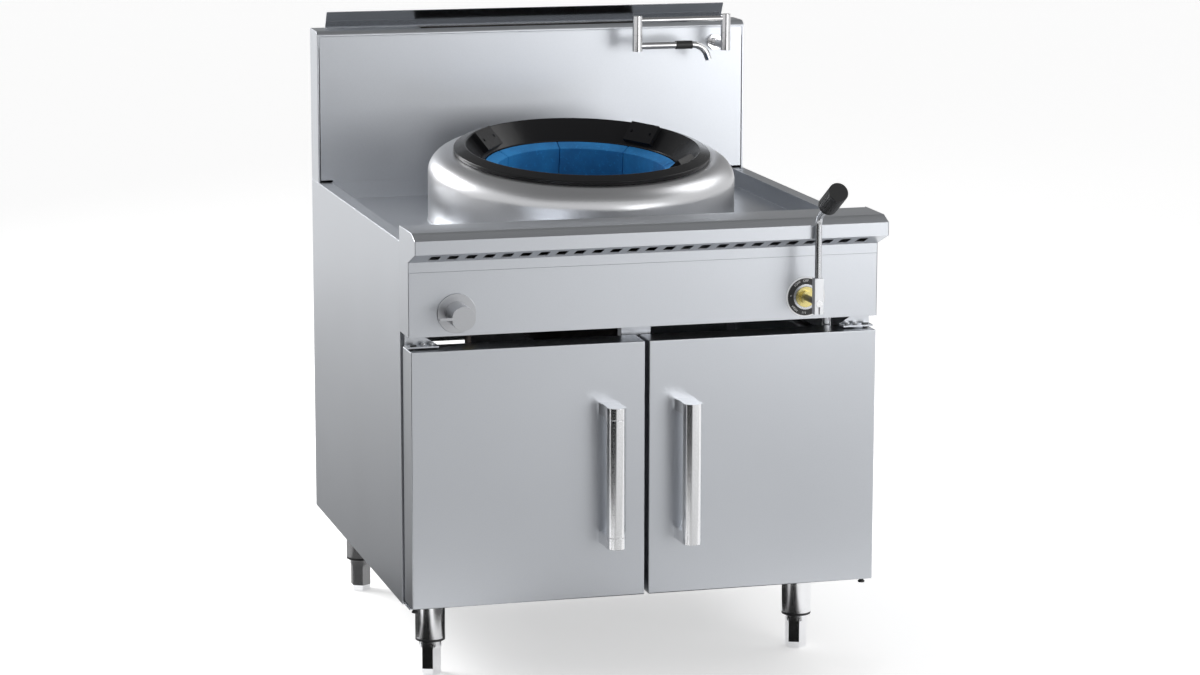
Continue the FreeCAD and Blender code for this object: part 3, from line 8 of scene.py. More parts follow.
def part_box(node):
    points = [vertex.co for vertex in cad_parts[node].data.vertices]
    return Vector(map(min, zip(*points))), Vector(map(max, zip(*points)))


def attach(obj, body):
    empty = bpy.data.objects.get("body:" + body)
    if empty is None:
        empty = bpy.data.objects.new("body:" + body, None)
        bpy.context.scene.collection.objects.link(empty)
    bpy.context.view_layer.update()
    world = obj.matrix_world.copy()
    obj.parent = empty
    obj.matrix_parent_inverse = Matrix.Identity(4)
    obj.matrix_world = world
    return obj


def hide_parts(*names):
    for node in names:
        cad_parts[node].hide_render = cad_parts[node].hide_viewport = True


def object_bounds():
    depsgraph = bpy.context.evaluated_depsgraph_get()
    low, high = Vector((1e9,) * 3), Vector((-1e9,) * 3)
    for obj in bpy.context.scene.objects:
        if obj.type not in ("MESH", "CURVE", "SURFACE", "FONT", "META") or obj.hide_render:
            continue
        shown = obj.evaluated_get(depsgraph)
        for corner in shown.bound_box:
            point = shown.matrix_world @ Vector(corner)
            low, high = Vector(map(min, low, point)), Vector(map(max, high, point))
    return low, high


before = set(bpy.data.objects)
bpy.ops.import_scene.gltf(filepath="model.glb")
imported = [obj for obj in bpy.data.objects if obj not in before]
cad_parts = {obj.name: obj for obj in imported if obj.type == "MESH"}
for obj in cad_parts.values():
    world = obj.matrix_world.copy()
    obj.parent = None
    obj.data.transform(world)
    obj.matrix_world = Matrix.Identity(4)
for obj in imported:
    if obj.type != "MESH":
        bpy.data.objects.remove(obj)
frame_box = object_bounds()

# Legs: round stainless tubes under the base frame, each with a black plastic collar and a
# hexagonal foot that screws in and out. The tubes are welded to the leg channels.


class Wire:
    """A shader socket that can be used in plain arithmetic, which adds the Math nodes."""

    def __init__(self, tree, socket):
        self.tree, self.socket = tree, socket

    def add(self, kind, settings=(), outlet=0, **inputs):
        """Add a node, set it up, fill its sockets with values or wires, and give one outlet."""
        node = self.tree.nodes.new("ShaderNode" + kind)
        for name, value in dict(settings).items():
            setattr(node, name, value)
        for name, value in inputs.items():
            key = int(name[1:]) if name[1:].isdigit() else name.replace("_", " ")
            plug(self.tree, value, node.inputs[key])
        return Wire(self.tree, node.outputs[outlet])

    def maths(self, operation, first, second=None):
        values = {"i0": first} if second is None else {"i0": first, "i1": second}
        return self.add("Math", {"operation": operation}, **values)

    def __add__(self, other):
        return self.maths("ADD", self, other)

    __radd__ = __add__

    def __mul__(self, other):
        return self.maths("MULTIPLY", self, other)

    __rmul__ = __mul__

    def __sub__(self, other):
        return self.maths("SUBTRACT", self, other)

    def __rsub__(self, other):
        return self.maths("SUBTRACT", other, self)

    def root(self):
        return self.maths("SQRT", self)

    def __gt__(self, other):
        return self.maths("GREATER_THAN", self, other)

    def ramp(self, low, high):
        """0 below low, 1 above high, and a smooth step between them."""
        smooth = {"interpolation_type": "SMOOTHSTEP"}
        return self.add("MapRange", smooth, Value=self, From_Min=low, From_Max=high)

    def blend(self, first, second):
        """Mix of two colours, with this wire as the share of the second."""
        return self.add("Mix", {"data_type": "RGBA"}, 2, Factor=self, i6=first, i7=second)


def plug(tree, value, socket):
    """Link a wire to a socket, or write a colour or number on it."""
    if isinstance(value, Wire):
        tree.links.new(value.socket, socket)
    elif hasattr(value, "__len__") and socket.type == "RGBA":
        socket.default_value = (*value[:3], 1.0)
    else:
        socket.default_value = value


def new_finish(name):
    """New material, and the wire of its object coordinates."""
    finish = bpy.data.materials.new(name)
    finish.use_nodes = True
    coordinates = finish.node_tree.nodes.new("ShaderNodeTexCoord")
    return finish, Wire(finish.node_tree, coordinates.outputs["Object"])


def shade(finish, bump=None, bump_height=0.0, **inputs):
    """Fill the sockets of the material's main shader, and its bump."""
    tree = finish.node_tree
    shader = tree.nodes["Principled BSDF"]
    for name, value in inputs.items():
        plug(tree, value, shader.inputs[name.replace("_", " ")])
    if bump is not None:
        normal = bump.add("Bump", Height=bump, Strength=1.0, Distance=bump_height)
        plug(tree, normal, shader.inputs["Normal"])
    return finish


def noise(place, scale, detail=2.0, rough=0.5):
    """Noise with about this many patches to the metre."""
    return place.add("TexNoise", Vector=place, Scale=scale, Detail=detail, Roughness=rough)


def stretched(place, x, y, z):
    return place.add("Mapping", Vector=place, Scale=(x, y, z))


BLACK, WHITE = (0.0, 0.0, 0.0), (1.0, 1.0, 1.0)
MOTTLE_SCALE, CLOUD_SCALE, LINE_SCALE = 420.0, 3.2, 60.0
EVEN_GRAIN = (1.0, 1.0, 1.0)
LEVEL_GRAIN = (1.0, 1.0, 30.0)
UPRIGHT_GRAIN = (40.0, 40.0, 1.0)
FINEST_GRAIN, FINE_GRAIN, SHEET_GRAIN = 0.000005, 0.00001, 0.00002


def steel(name, tone, roughness, grain, drawn):
    """Stainless sheet or bar: fine drawn grain, a soft mottle and faint wiping marks."""
    finish, place = new_finish(name)
    mottle = noise(place, MOTTLE_SCALE, 2.0)
    cloud = noise(place, CLOUD_SCALE, 3.0)
    lines = noise(stretched(place, *drawn), LINE_SCALE, 3.0, 0.6)
    level = 0.93 + 0.07 * mottle + 0.06 * (cloud - 0.5)
    colour = level.blend(BLACK, tone)
    rough = roughness + 0.06 * (mottle - 0.5) + 0.05 * (lines - 0.5) + 0.05 * (cloud - 0.5)
    return shade(finish, lines + 0.5 * mottle, grain, Base_Color=colour, Metallic=1.0,
                 Roughness=rough)


def only(piece):
    """Select this piece alone, and make it the active one."""
    bpy.ops.object.select_all(action="DESELECT")
    piece.select_set(True)
    bpy.context.view_layer.objects.active = piece


MERGE_REACH = 0.00001
FLAT_ANGLE = 1.0


def weld_copy(name, node):
    """Copy of a CAD piece as a clean mesh, with its loose triangles merged into faces."""
    piece = bpy.data.objects.new(name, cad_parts[node].data.copy())
    bpy.context.scene.collection.objects.link(piece)
    piece.data.materials.clear()
    only(piece)
    bpy.ops.object.mode_set(mode="EDIT")
    bpy.ops.mesh.select_all(action="SELECT")
    bpy.ops.mesh.remove_doubles(threshold=MERGE_REACH)
    bpy.ops.mesh.dissolve_limited(angle_limit=math.radians(FLAT_ANGLE))
    bpy.ops.object.mode_set(mode="OBJECT")
    return piece


def smooth_curves(piece, angle):
    """Shade bends up to this angle smooth, and keep the wide faces beside them flat."""
    only(piece)
    bpy.ops.object.shade_smooth_by_angle(angle=math.radians(angle))
    flat = piece.modifiers.new("flat_faces", "WEIGHTED_NORMAL")
    flat.keep_sharp = True
    bpy.ops.object.modifier_apply(modifier=flat.name)
    return piece


ROUNDED_ANGLE = 38.0


def round_edges(piece, width, segments=2, angle=35.0):
    """Bevel the sharp edges of a piece for good, and shade it smooth."""
    only(piece)
    bevel = piece.modifiers.new("rounding", "BEVEL")
    bevel.width = width
    bevel.segments = segments
    bevel.limit_method = "ANGLE"
    bevel.angle_limit = math.radians(angle)
    bevel.use_clamp_overlap = True
    bpy.ops.object.modifier_apply(modifier=bevel.name)
    return smooth_curves(piece, ROUNDED_ANGLE)


def fit_piece(piece, body, slot, finish, *nodes):
    """Give a piece its finish and its body, and hide the CAD nodes it stands for; the slot
    argument is not used.
    """
    piece.data.materials.clear()
    piece.data.materials.append(finish)
    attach(piece, body)
    if nodes:
        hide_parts(*nodes)
    return piece


def broken_edges(node, body, slot, finish, width, segments=2):
    """The CAD piece again, with its sharp edges rounded by this width."""
    piece = round_edges(weld_copy(node + "_sheet", node), width, segments)
    return fit_piece(piece, body, slot, finish, node)


def paint(finish, *nodes):
    """Put a finish on CAD pieces that keep their shape."""
    for node in nodes:
        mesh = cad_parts[node].data
        mesh.materials.clear()
        mesh.materials.append(finish)


TUBE_EDGE, FOOT_EDGE, LEG_COLLAR_EDGE = 0.0004, 0.0005, 0.0004
leg_steel = steel("leg_steel", (0.84, 0.845, 0.86), 0.18, SHEET_GRAIN, UPRIGHT_GRAIN)
broken_edges("leg_tubes", "root", "stainless_bright", leg_steel, TUBE_EDGE)
for node, body in (("foot_front_left", "foot_fl"), ("foot_front_right", "foot_fr"),
                   ("foot_rear_left", "foot_rl"), ("foot_rear_right", "foot_rr")):
    broken_edges(node, body, "stainless_bright", leg_steel, FOOT_EDGE)


PEBBLE_HEIGHT = 0.00003


def black_plastic(name, tone, roughness, pebble):
    """Moulded plastic or rubber with a fine pebble, lighter on its high spots."""
    finish, place = new_finish(name)
    fine = noise(place, pebble, 2.0)
    worn = tuple(2.2 * part for part in tone)
    return shade(finish, fine, PEBBLE_HEIGHT, Base_Color=fine.blend(tone, worn),
                 Roughness=roughness + 0.1 * fine)


collar_plastic = black_plastic("collar_plastic", (0.012, 0.012, 0.013), 0.4, 900.0)
broken_edges("leg_collars", "root", "black_plastic", collar_plastic, LEG_COLLAR_EDGE)

# Base: zinc coated angles and leg channels welded into a frame, with a plain shelf laid on
# it. It carries the cabinet and stays out of sight from the front.


SPANGLE_SCALE = 70.0


def zinc(name, tone):
    """Hot dipped coating, whose crystals differ in tone and gloss."""
    finish, place = new_finish(name)
    crystals = place.add("TexVoronoi", {"feature": "F1"}, 1, Vector=place, Scale=SPANGLE_SCALE)
    spangle = crystals.add("SeparateColor", Color=crystals)
    level = 0.85 + 0.2 * spangle
    return shade(finish, Base_Color=level.blend(BLACK, tone), Metallic=1.0,
                 Roughness=0.42 + 0.16 * spangle)


dull_zinc = zinc("dull_zinc", (0.42, 0.43, 0.45))
paint(dull_zinc, "base_frame", "base_shelf", "gas_supply_pipe")

# Cabinet: satin stainless side panels with narrow returns at the front, a recessed back
# with its service opening, and the folded channel between the doors with the catches.
SHEET_TONE = (0.535, 0.555, 0.588)
SIDE_EDGE, BACK_EDGE, CHANNEL_EDGE, CATCH_EDGE = 0.001, 0.0004, 0.0005, 0.001
side_steel = steel("side_steel", SHEET_TONE, 0.36, SHEET_GRAIN, LEVEL_GRAIN)
for node in ("side_panel_left", "side_panel_right"):
    broken_edges(node, "root", "stainless", side_steel, SIDE_EDGE)
broken_edges("back_panel", "root", "galvanised", dull_zinc, BACK_EDGE)
broken_edges("centre_mullion", "root", "stainless", side_steel, CHANNEL_EDGE)


FASTENER_EDGE, FASTENER_ANGLE = 0.22, 50.0


def fastener(name, sides, radius, height, lean=0.0):
    """One low screw head or nut with rounded edges, which stands on the origin and leans."""
    bpy.ops.object.select_all(action="DESELECT")
    bpy.ops.mesh.primitive_cylinder_add(vertices=sides, radius=radius, depth=height,
                                        location=(0.0, 0.0, height / 2))
    head = bpy.context.active_object
    head.name = name
    bpy.ops.object.transform_apply(location=True, rotation=True, scale=True)
    round_edges(head, FASTENER_EDGE * height, 2, FASTENER_ANGLE)
    head.data.transform(Matrix.Rotation(lean, 4, "X"))
    return head


def fastener_row(name, pattern, places, finish):
    """Copies of one fastener at each place, kept as a single piece."""
    copies = []
    for place in places:
        copy = bpy.data.objects.new(name, pattern.data.copy())
        bpy.context.scene.collection.objects.link(copy)
        copy.data.transform(Matrix.Translation(place))
        copies.append(copy)
    bpy.data.objects.remove(pattern)
    only(copies[0])
    for copy in copies:
        copy.select_set(True)
    bpy.ops.object.join()
    row = bpy.context.active_object
    row.name = name
    return fit_piece(row, "root", "stainless_bright", finish)


BACK_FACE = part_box("back_panel")[1][1]
SCREW_X, SCREW_TOP, SCREW_LOW = 0.424, 0.845, 0.23
SCREW_SIDES, SCREW_RADIUS, SCREW_HEIGHT = 20, 0.0048, 0.0024
edge_places = [(side * SCREW_X, BACK_FACE, SCREW_LOW + step * (SCREW_TOP - SCREW_LOW) / 4)
               for side in (-1, 1) for step in range(5)]
low_places = [(step * SCREW_X / 2, BACK_FACE, SCREW_LOW) for step in (-1, 0, 1)]
screw_steel = steel("screw_steel", (0.62, 0.63, 0.65), 0.3, FINE_GRAIN, EVEN_GRAIN)
back_screw = fastener("back_screw", SCREW_SIDES, SCREW_RADIUS, SCREW_HEIGHT, -math.pi / 2)
fastener_row("back_screws", back_screw, edge_places + low_places, screw_steel)
broken_edges("door_catches", "root", "black_plastic", collar_plastic, CATCH_EDGE)

# Hob deck: one pressed tray with a flat rim, and the raised collar that leans to the front,
# spun from thicker sheet and welded down to the tray.
DEPTH_GRAIN = (1.0, 30.0, 1.0)
TRAY_EDGE = 0.001
deck_steel = steel("deck_steel", SHEET_TONE, 0.34, SHEET_GRAIN, DEPTH_GRAIN)
broken_edges("deck_tray", "root", "stainless", deck_steel, TRAY_EDGE, 3)
COLLAR_RADIUS = 0.300
COLLAR_FOOT = (0.0, 0.10366, 0.8262)
COLLAR_FLATTENING = 0.9934
WELD_RADIUS = 0.0018
WELD_STEPS, WELD_SIDES = 160, 8
SPUN_ANGLE = 40.0
SPUN_GRAIN = (4.0, 4.0, 4.0)
bpy.ops.object.select_all(action="DESELECT")
bpy.ops.mesh.primitive_torus_add(location=COLLAR_FOOT, major_radius=COLLAR_RADIUS,
                                 minor_radius=WELD_RADIUS, major_segments=WELD_STEPS,
                                 minor_segments=WELD_SIDES)
weld = bpy.context.active_object
weld.name = "collar_weld"
weld.scale = (1.0, COLLAR_FLATTENING, 1.0)
bpy.ops.object.transform_apply(location=True, rotation=True, scale=True)
bpy.ops.object.shade_smooth()
fit_piece(weld, "root", "stainless", deck_steel)
collar_steel = steel("collar_steel", (0.56, 0.565, 0.58), 0.34, FINE_GRAIN, SPUN_GRAIN)
collar = smooth_curves(weld_copy("wok_collar_spun", "wok_collar"), SPUN_ANGLE)
fit_piece(collar, "root", "stainless", collar_steel, "wok_collar")

# Furnace: a heat darkened steel pot under the ring, lined with eight blue fired segments,
# with the burner, its brass jets, the pilot and the sensor on its floor.


SCALE_PATCHES, SCALE_HEIGHT = 22.0, 0.0004
CAST_EDGE = 0.0015


def scorched(name, tone):
    """Steel or iron with patches of scale from the heat."""
    finish, place = new_finish(name)
    patch = noise(place, SCALE_PATCHES, 5.0, 0.6)
    scale = tuple(1.9 * part for part in tone)
    return shade(finish, patch, SCALE_HEIGHT, Base_Color=patch.ramp(0.35, 0.7).blend(tone, scale),
                 Metallic=0.6, Roughness=0.55 + 0.25 * patch)


burnt_steel = scorched("burnt_steel", (0.05, 0.047, 0.045))
paint(burnt_steel, "furnace_shell", "burner_shroud", "flue_duct")
cast_burner = scorched("cast_burner", (0.035, 0.033, 0.032))
broken_edges("burner_body", "root", "dark_steel", cast_burner, CAST_EDGE)


DEEP_BLUE, MID_BLUE, FLECK_BLUE = (0.008, 0.135, 0.38), (0.018, 0.26, 0.64), (0.026, 0.31, 0.72)
CLAY_CLOUDS, CLAY_FLECKS, CLAY_HEIGHT = 9.0, 160.0, 0.0006


def fired_lining():
    """Blue fired clay, cloudy and flecked."""
    finish, place = new_finish("blue_lining")
    cloud = noise(place, CLAY_CLOUDS, 4.0, 0.6)
    fleck = noise(place, CLAY_FLECKS, 3.0, 0.6)
    colour = cloud.ramp(0.3, 0.72).blend(DEEP_BLUE, MID_BLUE)
    colour = fleck.ramp(0.55, 0.8).blend(colour, FLECK_BLUE)
    return shade(finish, cloud + 0.2 * fleck, CLAY_HEIGHT, Base_Color=colour, Roughness=0.8)


broken_edges("refractory_lining", "root", "refractory", fired_lining(), CAST_EDGE)


TOOL_MARKS, TOOL_DEPTH = 500.0, 0.00002


def machined_brass(name, tone):
    """Turned brass or drawn copper with fine tool marks."""
    finish, place = new_finish(name)
    marks = noise(place, TOOL_MARKS, 2.0)
    return shade(finish, marks, TOOL_DEPTH, Base_Color=(0.9 + 0.1 * marks).blend(BLACK, tone),
                 Metallic=1.0, Roughness=0.2 + 0.12 * marks)


brass = machined_brass("brass", (0.66, 0.57, 0.24))
paint(brass, "burner_jets", "gas_inlet", "water_inlet")
paint(leg_steel, "pilot_burner")

# Wok ring: a black enamelled casting with a raised lip and a cone, and three drilled pads
# that carry the wok. It lifts off its seat on the collar.


PEEL_SCALE, SPECK_SCALE, PEEL_HEIGHT = 130.0, 900.0, 0.00003
ENAMEL_DARK, ENAMEL_LIGHT = (0.013, 0.013, 0.014), (0.018, 0.018, 0.019)
RING_EDGE, RING_STEPS, RING_ANGLE = 0.0018, 3, 20.0
PAD_EDGE, PAD_STEPS, PAD_ANGLE = 0.0012, 2, 30.0


def black_enamel():
    """Black enamel with a slight orange peel."""
    finish, place = new_finish("black_enamel")
    peel = noise(place, PEEL_SCALE, 2.0)
    speck = noise(place, SPECK_SCALE, 2.0)
    return shade(finish, peel + 0.3 * speck, PEEL_HEIGHT,
                 Base_Color=speck.blend(ENAMEL_DARK, ENAMEL_LIGHT),
                 Roughness=0.18 + 0.08 * peel, Specular_IOR_Level=0.12)


enamel = black_enamel()
ring = round_edges(weld_copy("wok_ring_cast", "wok_ring"), RING_EDGE, RING_STEPS, RING_ANGLE)
fit_piece(ring, "ring", "black_iron", enamel, "wok_ring")
pads = round_edges(weld_copy("wok_pads", "wok_lugs"), PAD_EDGE, PAD_STEPS, PAD_ANGLE)
fit_piece(pads, "ring", "black_iron", enamel, "wok_lugs")

# Splashback: a folded front skin set between the returns of the flue casing, whose top is
# rounded and slotted, with a leaning baffle behind the slot.
SPLASH_EDGE = 0.0006
splash_steel = steel("splash_steel", SHEET_TONE, 0.34, SHEET_GRAIN, LEVEL_GRAIN)
for node in ("splashback_casing", "splashback_front"):
    broken_edges(node, "root", "stainless", splash_steel, SPLASH_EDGE)
baffle_steel = steel("baffle_steel", SHEET_TONE, 0.22, FINE_GRAIN, LEVEL_GRAIN)
broken_edges("flue_deflector", "root", "stainless", baffle_steel, SPLASH_EDGE)

# Control box: the folded apron with its row of vents, an end plate at each side and the
# control panel under it.
front_steel = steel("front_steel", SHEET_TONE, 0.34, SHEET_GRAIN, LEVEL_GRAIN)
SLOT_CORNER, SLOT_STEPS = 0.0038, 4
SLOPE_NORMAL = Vector((0.0, 0.358, 0.934)).normalized()
SLOPE_MATCH = 0.98
UNDERSIDE_LOW, UNDERSIDE_HIGH = 0.825, 0.856
VENT_REACH = 0.43
THROUGH_SHEET = 0.004
FOLD_EDGE, SEAM_EDGE = 0.0009, 0.0013


def round_slot_corners(piece):
    """Round the four corners of every vent, which are the short edges through the sheet."""
    only(piece)
    bpy.ops.object.mode_set(mode="EDIT")
    bpy.ops.mesh.select_all(action="DESELECT")
    bpy.ops.mesh.select_mode(type="EDGE")
    mesh = bmesh.from_edit_mesh(piece.data)
    for edge in mesh.edges:
        along = edge.verts[1].co - edge.verts[0].co
        middle = (edge.verts[1].co + edge.verts[0].co) / 2
        through = abs(along.normalized().dot(SLOPE_NORMAL)) > SLOPE_MATCH
        short = along.length < THROUGH_SHEET
        inside = abs(middle.x) < VENT_REACH and UNDERSIDE_LOW < middle.z < UNDERSIDE_HIGH
        edge.select = through and short and inside
    bmesh.update_edit_mesh(piece.data)
    bpy.ops.mesh.bevel(offset=SLOT_CORNER, segments=SLOT_STEPS, affect="EDGES")
    bpy.ops.object.mode_set(mode="OBJECT")


apron = weld_copy("apron_folded", "apron")
round_slot_corners(apron)
round_edges(apron, FOLD_EDGE)
fit_piece(apron, "root", "stainless", front_steel, "apron")
broken_edges("control_box_ends", "root", "stainless", front_steel, FOLD_EDGE)
broken_edges("control_panel", "root", "stainless", front_steel, SEAM_EDGE)

# Doors: folded box doors that turn on pins in welded brackets, each with a liner and a
# round bar handle between two cast ends.
BRACKET_EDGE, LINER_EDGE, HANDLE_EDGE = 0.0004, 0.0003, 0.0012
DOOR_ANGLE = 40.0
door_steel = steel("door_steel", SHEET_TONE, 0.3, SHEET_GRAIN, LEVEL_GRAIN)
broken_edges("hinge_brackets", "root", "stainless", door_steel, BRACKET_EDGE)
paint(collar_plastic, "hinge_pins")
PLATE_TOP = 0.671
NUT_X, NUT_Y = (0.401, 0.4165), -0.3325
NUT_RADIUS, NUT_HEIGHT = 0.0052, 0.0045
fastener_row("bracket_nuts", fastener("bracket_nut", 6, NUT_RADIUS, NUT_HEIGHT),
             [(side * x, NUT_Y, PLATE_TOP) for side in (-1, 1) for x in NUT_X], screw_steel)
for side in ("left", "right"):
    body = "door_" + side
    door = smooth_curves(weld_copy("door_" + side + "_skin", "door_skin_" + side), DOOR_ANGLE)
    fit_piece(door, body, "stainless", door_steel, "door_skin_" + side)
    broken_edges("door_liner_" + side, body, "stainless", door_steel, LINER_EDGE)
    broken_edges("door_handle_" + side, body, "stainless_bright", leg_steel, HANDLE_EDGE, 3)

# Gas control: a brass valve behind the panel whose nose comes out through a printed dial and
# a bright bezel, and a lever of bar steel clamped on the spindle, with a ribbed black grip.
DIAL_CENTRE = (0.3086, 0.733)
DIAL_FACE = -0.34 - 0.01912 - 0.001
PRINT_RADIUS = 0.0352
PRINT_DEPTH = 0.00004
PRINT_GRAIN = 700.0
WORD_RADIUS = 0.0302
DIAL_MARKS = (("OFF", 0.0, 0.0065), ("LOW", 10.9, 0.006), ("HIGH", 7.5, 0.006),
              ("I I I", 6.2, 0.006), ("-", 9.2, 0.012), ("-", 3.0, 0.012))
INK_DARK, INK_LIGHT, DIAL_EDGE = (0.005, 0.005, 0.0055), (0.010, 0.010, 0.011), (0.88, 0.89, 0.91)


def dial_print():
    """Black print inside a pale edge, by the distance from the dial's centre."""
    finish, place = new_finish("dial_print")
    x = place.add("SeparateXYZ", outlet=0, Vector=place) - DIAL_CENTRE[0]
    z = place.add("SeparateXYZ", outlet=2, Vector=place) - DIAL_CENTRE[1]
    edge = (x * x + z * z).root() > PRINT_RADIUS
    grain = noise(place, PRINT_GRAIN)
    ink = grain.blend(INK_DARK, INK_LIGHT)
    return shade(finish, Base_Color=edge.blend(ink, DIAL_EDGE), Roughness=0.34 + 0.08 * grain)


def printed_words(marks, finish):
    """Words and ticks of the dial, each at its place on a clock face, as one thin layer."""
    parts = []
    for word, clock, height in marks:
        angle = math.radians(90.0 - 30.0 * clock)
        bpy.ops.object.select_all(action="DESELECT")
        bpy.ops.object.text_add()
        part = bpy.context.active_object
        part.data.body = word
        part.data.size = height
        part.data.extrude = PRINT_DEPTH
        part.data.align_x = "CENTER"
        part.data.align_y = "CENTER"
        bpy.ops.object.convert(target="MESH")
        part = bpy.context.active_object
        lean = angle - math.pi / 2 if math.sin(angle) > 0 else angle + math.pi / 2
        spot = (DIAL_CENTRE[0] + WORD_RADIUS * math.cos(angle), DIAL_FACE - PRINT_DEPTH,
                DIAL_CENTRE[1] + WORD_RADIUS * math.sin(angle))
        part.data.transform(Matrix.Translation(spot) @ Matrix.Rotation(math.pi / 2, 4, "X")
                            @ Matrix.Rotation(lean, 4, "Z"))
        parts.append(part)
    bpy.ops.object.select_all(action="DESELECT")
    for part in parts:
        part.select_set(True)
    bpy.context.view_layer.objects.active = parts[0]
    bpy.ops.object.join()
    words = bpy.context.active_object
    words.name = "dial_words"
    return fit_piece(words, "root", "dial_print", finish)


paint(brass, "gas_valve_body")
paint(leg_steel, "gas_union")
paint(dial_print(), "dial_ring")
white_print, place = new_finish("white_print")
shade(white_print, Base_Color=(0.7 + 0.1 * noise(place, 900.0)).blend(BLACK, WHITE), Roughness=0.5)
printed_words(DIAL_MARKS, white_print)
BAR_EDGE, SPINDLE_EDGE, BLOCK_EDGE = 0.0003, 0.0005, 0.0006
MILLED_GRAIN = (1.0, 1.0, 20.0)
CAP_SIDES, CAP_LIP, CAP_HEIGHT = 24, 0.0004, 0.0008
bar_steel = steel("bar_steel", (0.58, 0.59, 0.61), 0.2, FINE_GRAIN, UPRIGHT_GRAIN)
broken_edges("dial_bezel", "root", "stainless_bright", bar_steel, BAR_EDGE)
dark_bar = steel("dark_bar", (0.16, 0.16, 0.165), 0.3, FINE_GRAIN, EVEN_GRAIN)
broken_edges("lever_spindle", "gas_lever", "stainless_bright", dark_bar, SPINDLE_EDGE)
milled_steel = steel("milled_steel", (0.66, 0.67, 0.69), 0.42, SHEET_GRAIN, MILLED_GRAIN)
broken_edges("lever_block", "gas_lever", "stainless_bright", milled_steel, BLOCK_EDGE)
spindle_low, spindle_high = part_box("lever_spindle")
cap_radius = (spindle_high[0] - spindle_low[0]) / 2 + CAP_LIP
clamp_screw = fastener("lever_screw", CAP_SIDES, cap_radius, CAP_HEIGHT, math.pi / 2)
clamp_screw.data.transform(Matrix.Translation(((spindle_low[0] + spindle_high[0]) / 2,
                                               spindle_low[1],
                                               (spindle_low[2] + spindle_high[2]) / 2)))
fit_piece(clamp_screw, "gas_lever", "stainless_bright", leg_steel)
broken_edges("lever_rod", "gas_lever", "stainless_bright", bar_steel, BAR_EDGE)
grip_rubber = black_plastic("grip_rubber", (0.005, 0.005, 0.0055), 0.34, 600.0)
broken_edges("lever_grip", "gas_lever", "black_plastic", grip_rubber, BAR_EDGE)

# Water: a satin knob on a round plate turns the brass valve behind the panel, and pipes lead to
# the chromed tap high on the splashback, whose two arms fold and swing on upright posts.
TAP_EDGE, PLATE_EDGE, KNOB_EDGE, TAP_STEPS = 0.0008, 0.0008, 0.001, 3
chrome = steel("chrome", (0.62, 0.62, 0.63), 0.1, FINEST_GRAIN, EVEN_GRAIN)
paint(brass, "water_valve_body")
knob_steel = steel("knob_steel", (0.48, 0.49, 0.51), 0.3, FINE_GRAIN, LEVEL_GRAIN)
broken_edges("knob_plate", "root", "stainless_bright", knob_steel, PLATE_EDGE, TAP_STEPS)
broken_edges("tap_knob", "water_knob", "stainless_bright", knob_steel, KNOB_EDGE, TAP_STEPS)
copper = machined_brass("copper", (0.62, 0.34, 0.22))
paint(copper, "tap_riser_pipe", "burner_pipe")
paint(scorched("dull_pipe", (0.06, 0.05, 0.045)), "water_supply_pipe")
broken_edges("tap_escutcheon", "root", "stainless_bright", chrome, TAP_EDGE)
broken_edges("tap_stem", "root", "stainless_bright", chrome, TAP_EDGE, TAP_STEPS)
broken_edges("tap_inner_arm", "tap_arm_inner", "stainless_bright", chrome, TAP_EDGE, TAP_STEPS)
broken_edges("tap_outer_arm", "tap_arm_outer", "stainless_bright", chrome, TAP_EDGE, TAP_STEPS)
broken_edges("tap_sleeve", "tap_arm_outer", "black_plastic", collar_plastic, TAP_EDGE, TAP_STEPS)

# Studio: a pale floor and a white surround, soft lamps, cards that shape what the metal
# mirrors, and the camera at the place from which the range was photographed.
ROOM_LEVEL = 0.5
FLOOR_GLOW = 0.5
FLOOR_SIZE = 60.0
FLOOR_GREY = (0.80, 0.80, 0.80)


def shown_rays(tree):
    """One for what the camera sees, straight or in metal or glass, and nothing for other light."""
    path = tree.nodes.new("ShaderNodeLightPath")
    seen = Wire(tree, path.outputs["Is Camera Ray"])
    mirrored = Wire(tree, path.outputs["Is Glossy Ray"])
    through = Wire(tree, path.outputs["Is Transmission Ray"])
    return seen.maths("MAXIMUM", seen, mirrored.maths("MAXIMUM", mirrored, through))


world = bpy.data.worlds.new("studio")
bpy.context.scene.world = world
world.use_nodes = True
surround = world.node_tree.nodes["Background"]
room_glow = shown_rays(world.node_tree) * (1.0 - ROOM_LEVEL) + ROOM_LEVEL
plug(world.node_tree, room_glow, surround.inputs["Strength"])
plug(world.node_tree, WHITE, surround.inputs["Color"])

bpy.ops.object.select_all(action="DESELECT")
bpy.ops.mesh.primitive_plane_add(size=FLOOR_SIZE, location=(0.0, 0.0, frame_box[0][2]))
floor = bpy.context.active_object
floor.name = "floor"
floor_paint, place = new_finish("floor_paint")
glow = shown_rays(floor_paint.node_tree) * FLOOR_GLOW
shade(floor_paint, Base_Color=FLOOR_GREY, Roughness=0.7, Emission_Strength=1.0,
      Emission_Color=glow.blend(BLACK, WHITE))
floor.data.materials.append(floor_paint)


def aimed(place, aim):
    """Turn that points the -Z side of a lamp or card from its place to its aim."""
    return (Vector(aim) - Vector(place)).to_track_quat("-Z", "Y").to_euler()


def lamp(name, place, aim, wide, tall, power):
    """Soft box of this size in metres and power in watts."""
    light = bpy.data.lights.new(name, "AREA")
    light.shape = "RECTANGLE"
    light.size = wide
    light.size_y = tall
    light.energy = power
    holder = bpy.data.objects.new(name, light)
    bpy.context.scene.collection.objects.link(holder)
    holder.location = place
    holder.rotation_euler = aimed(place, aim)


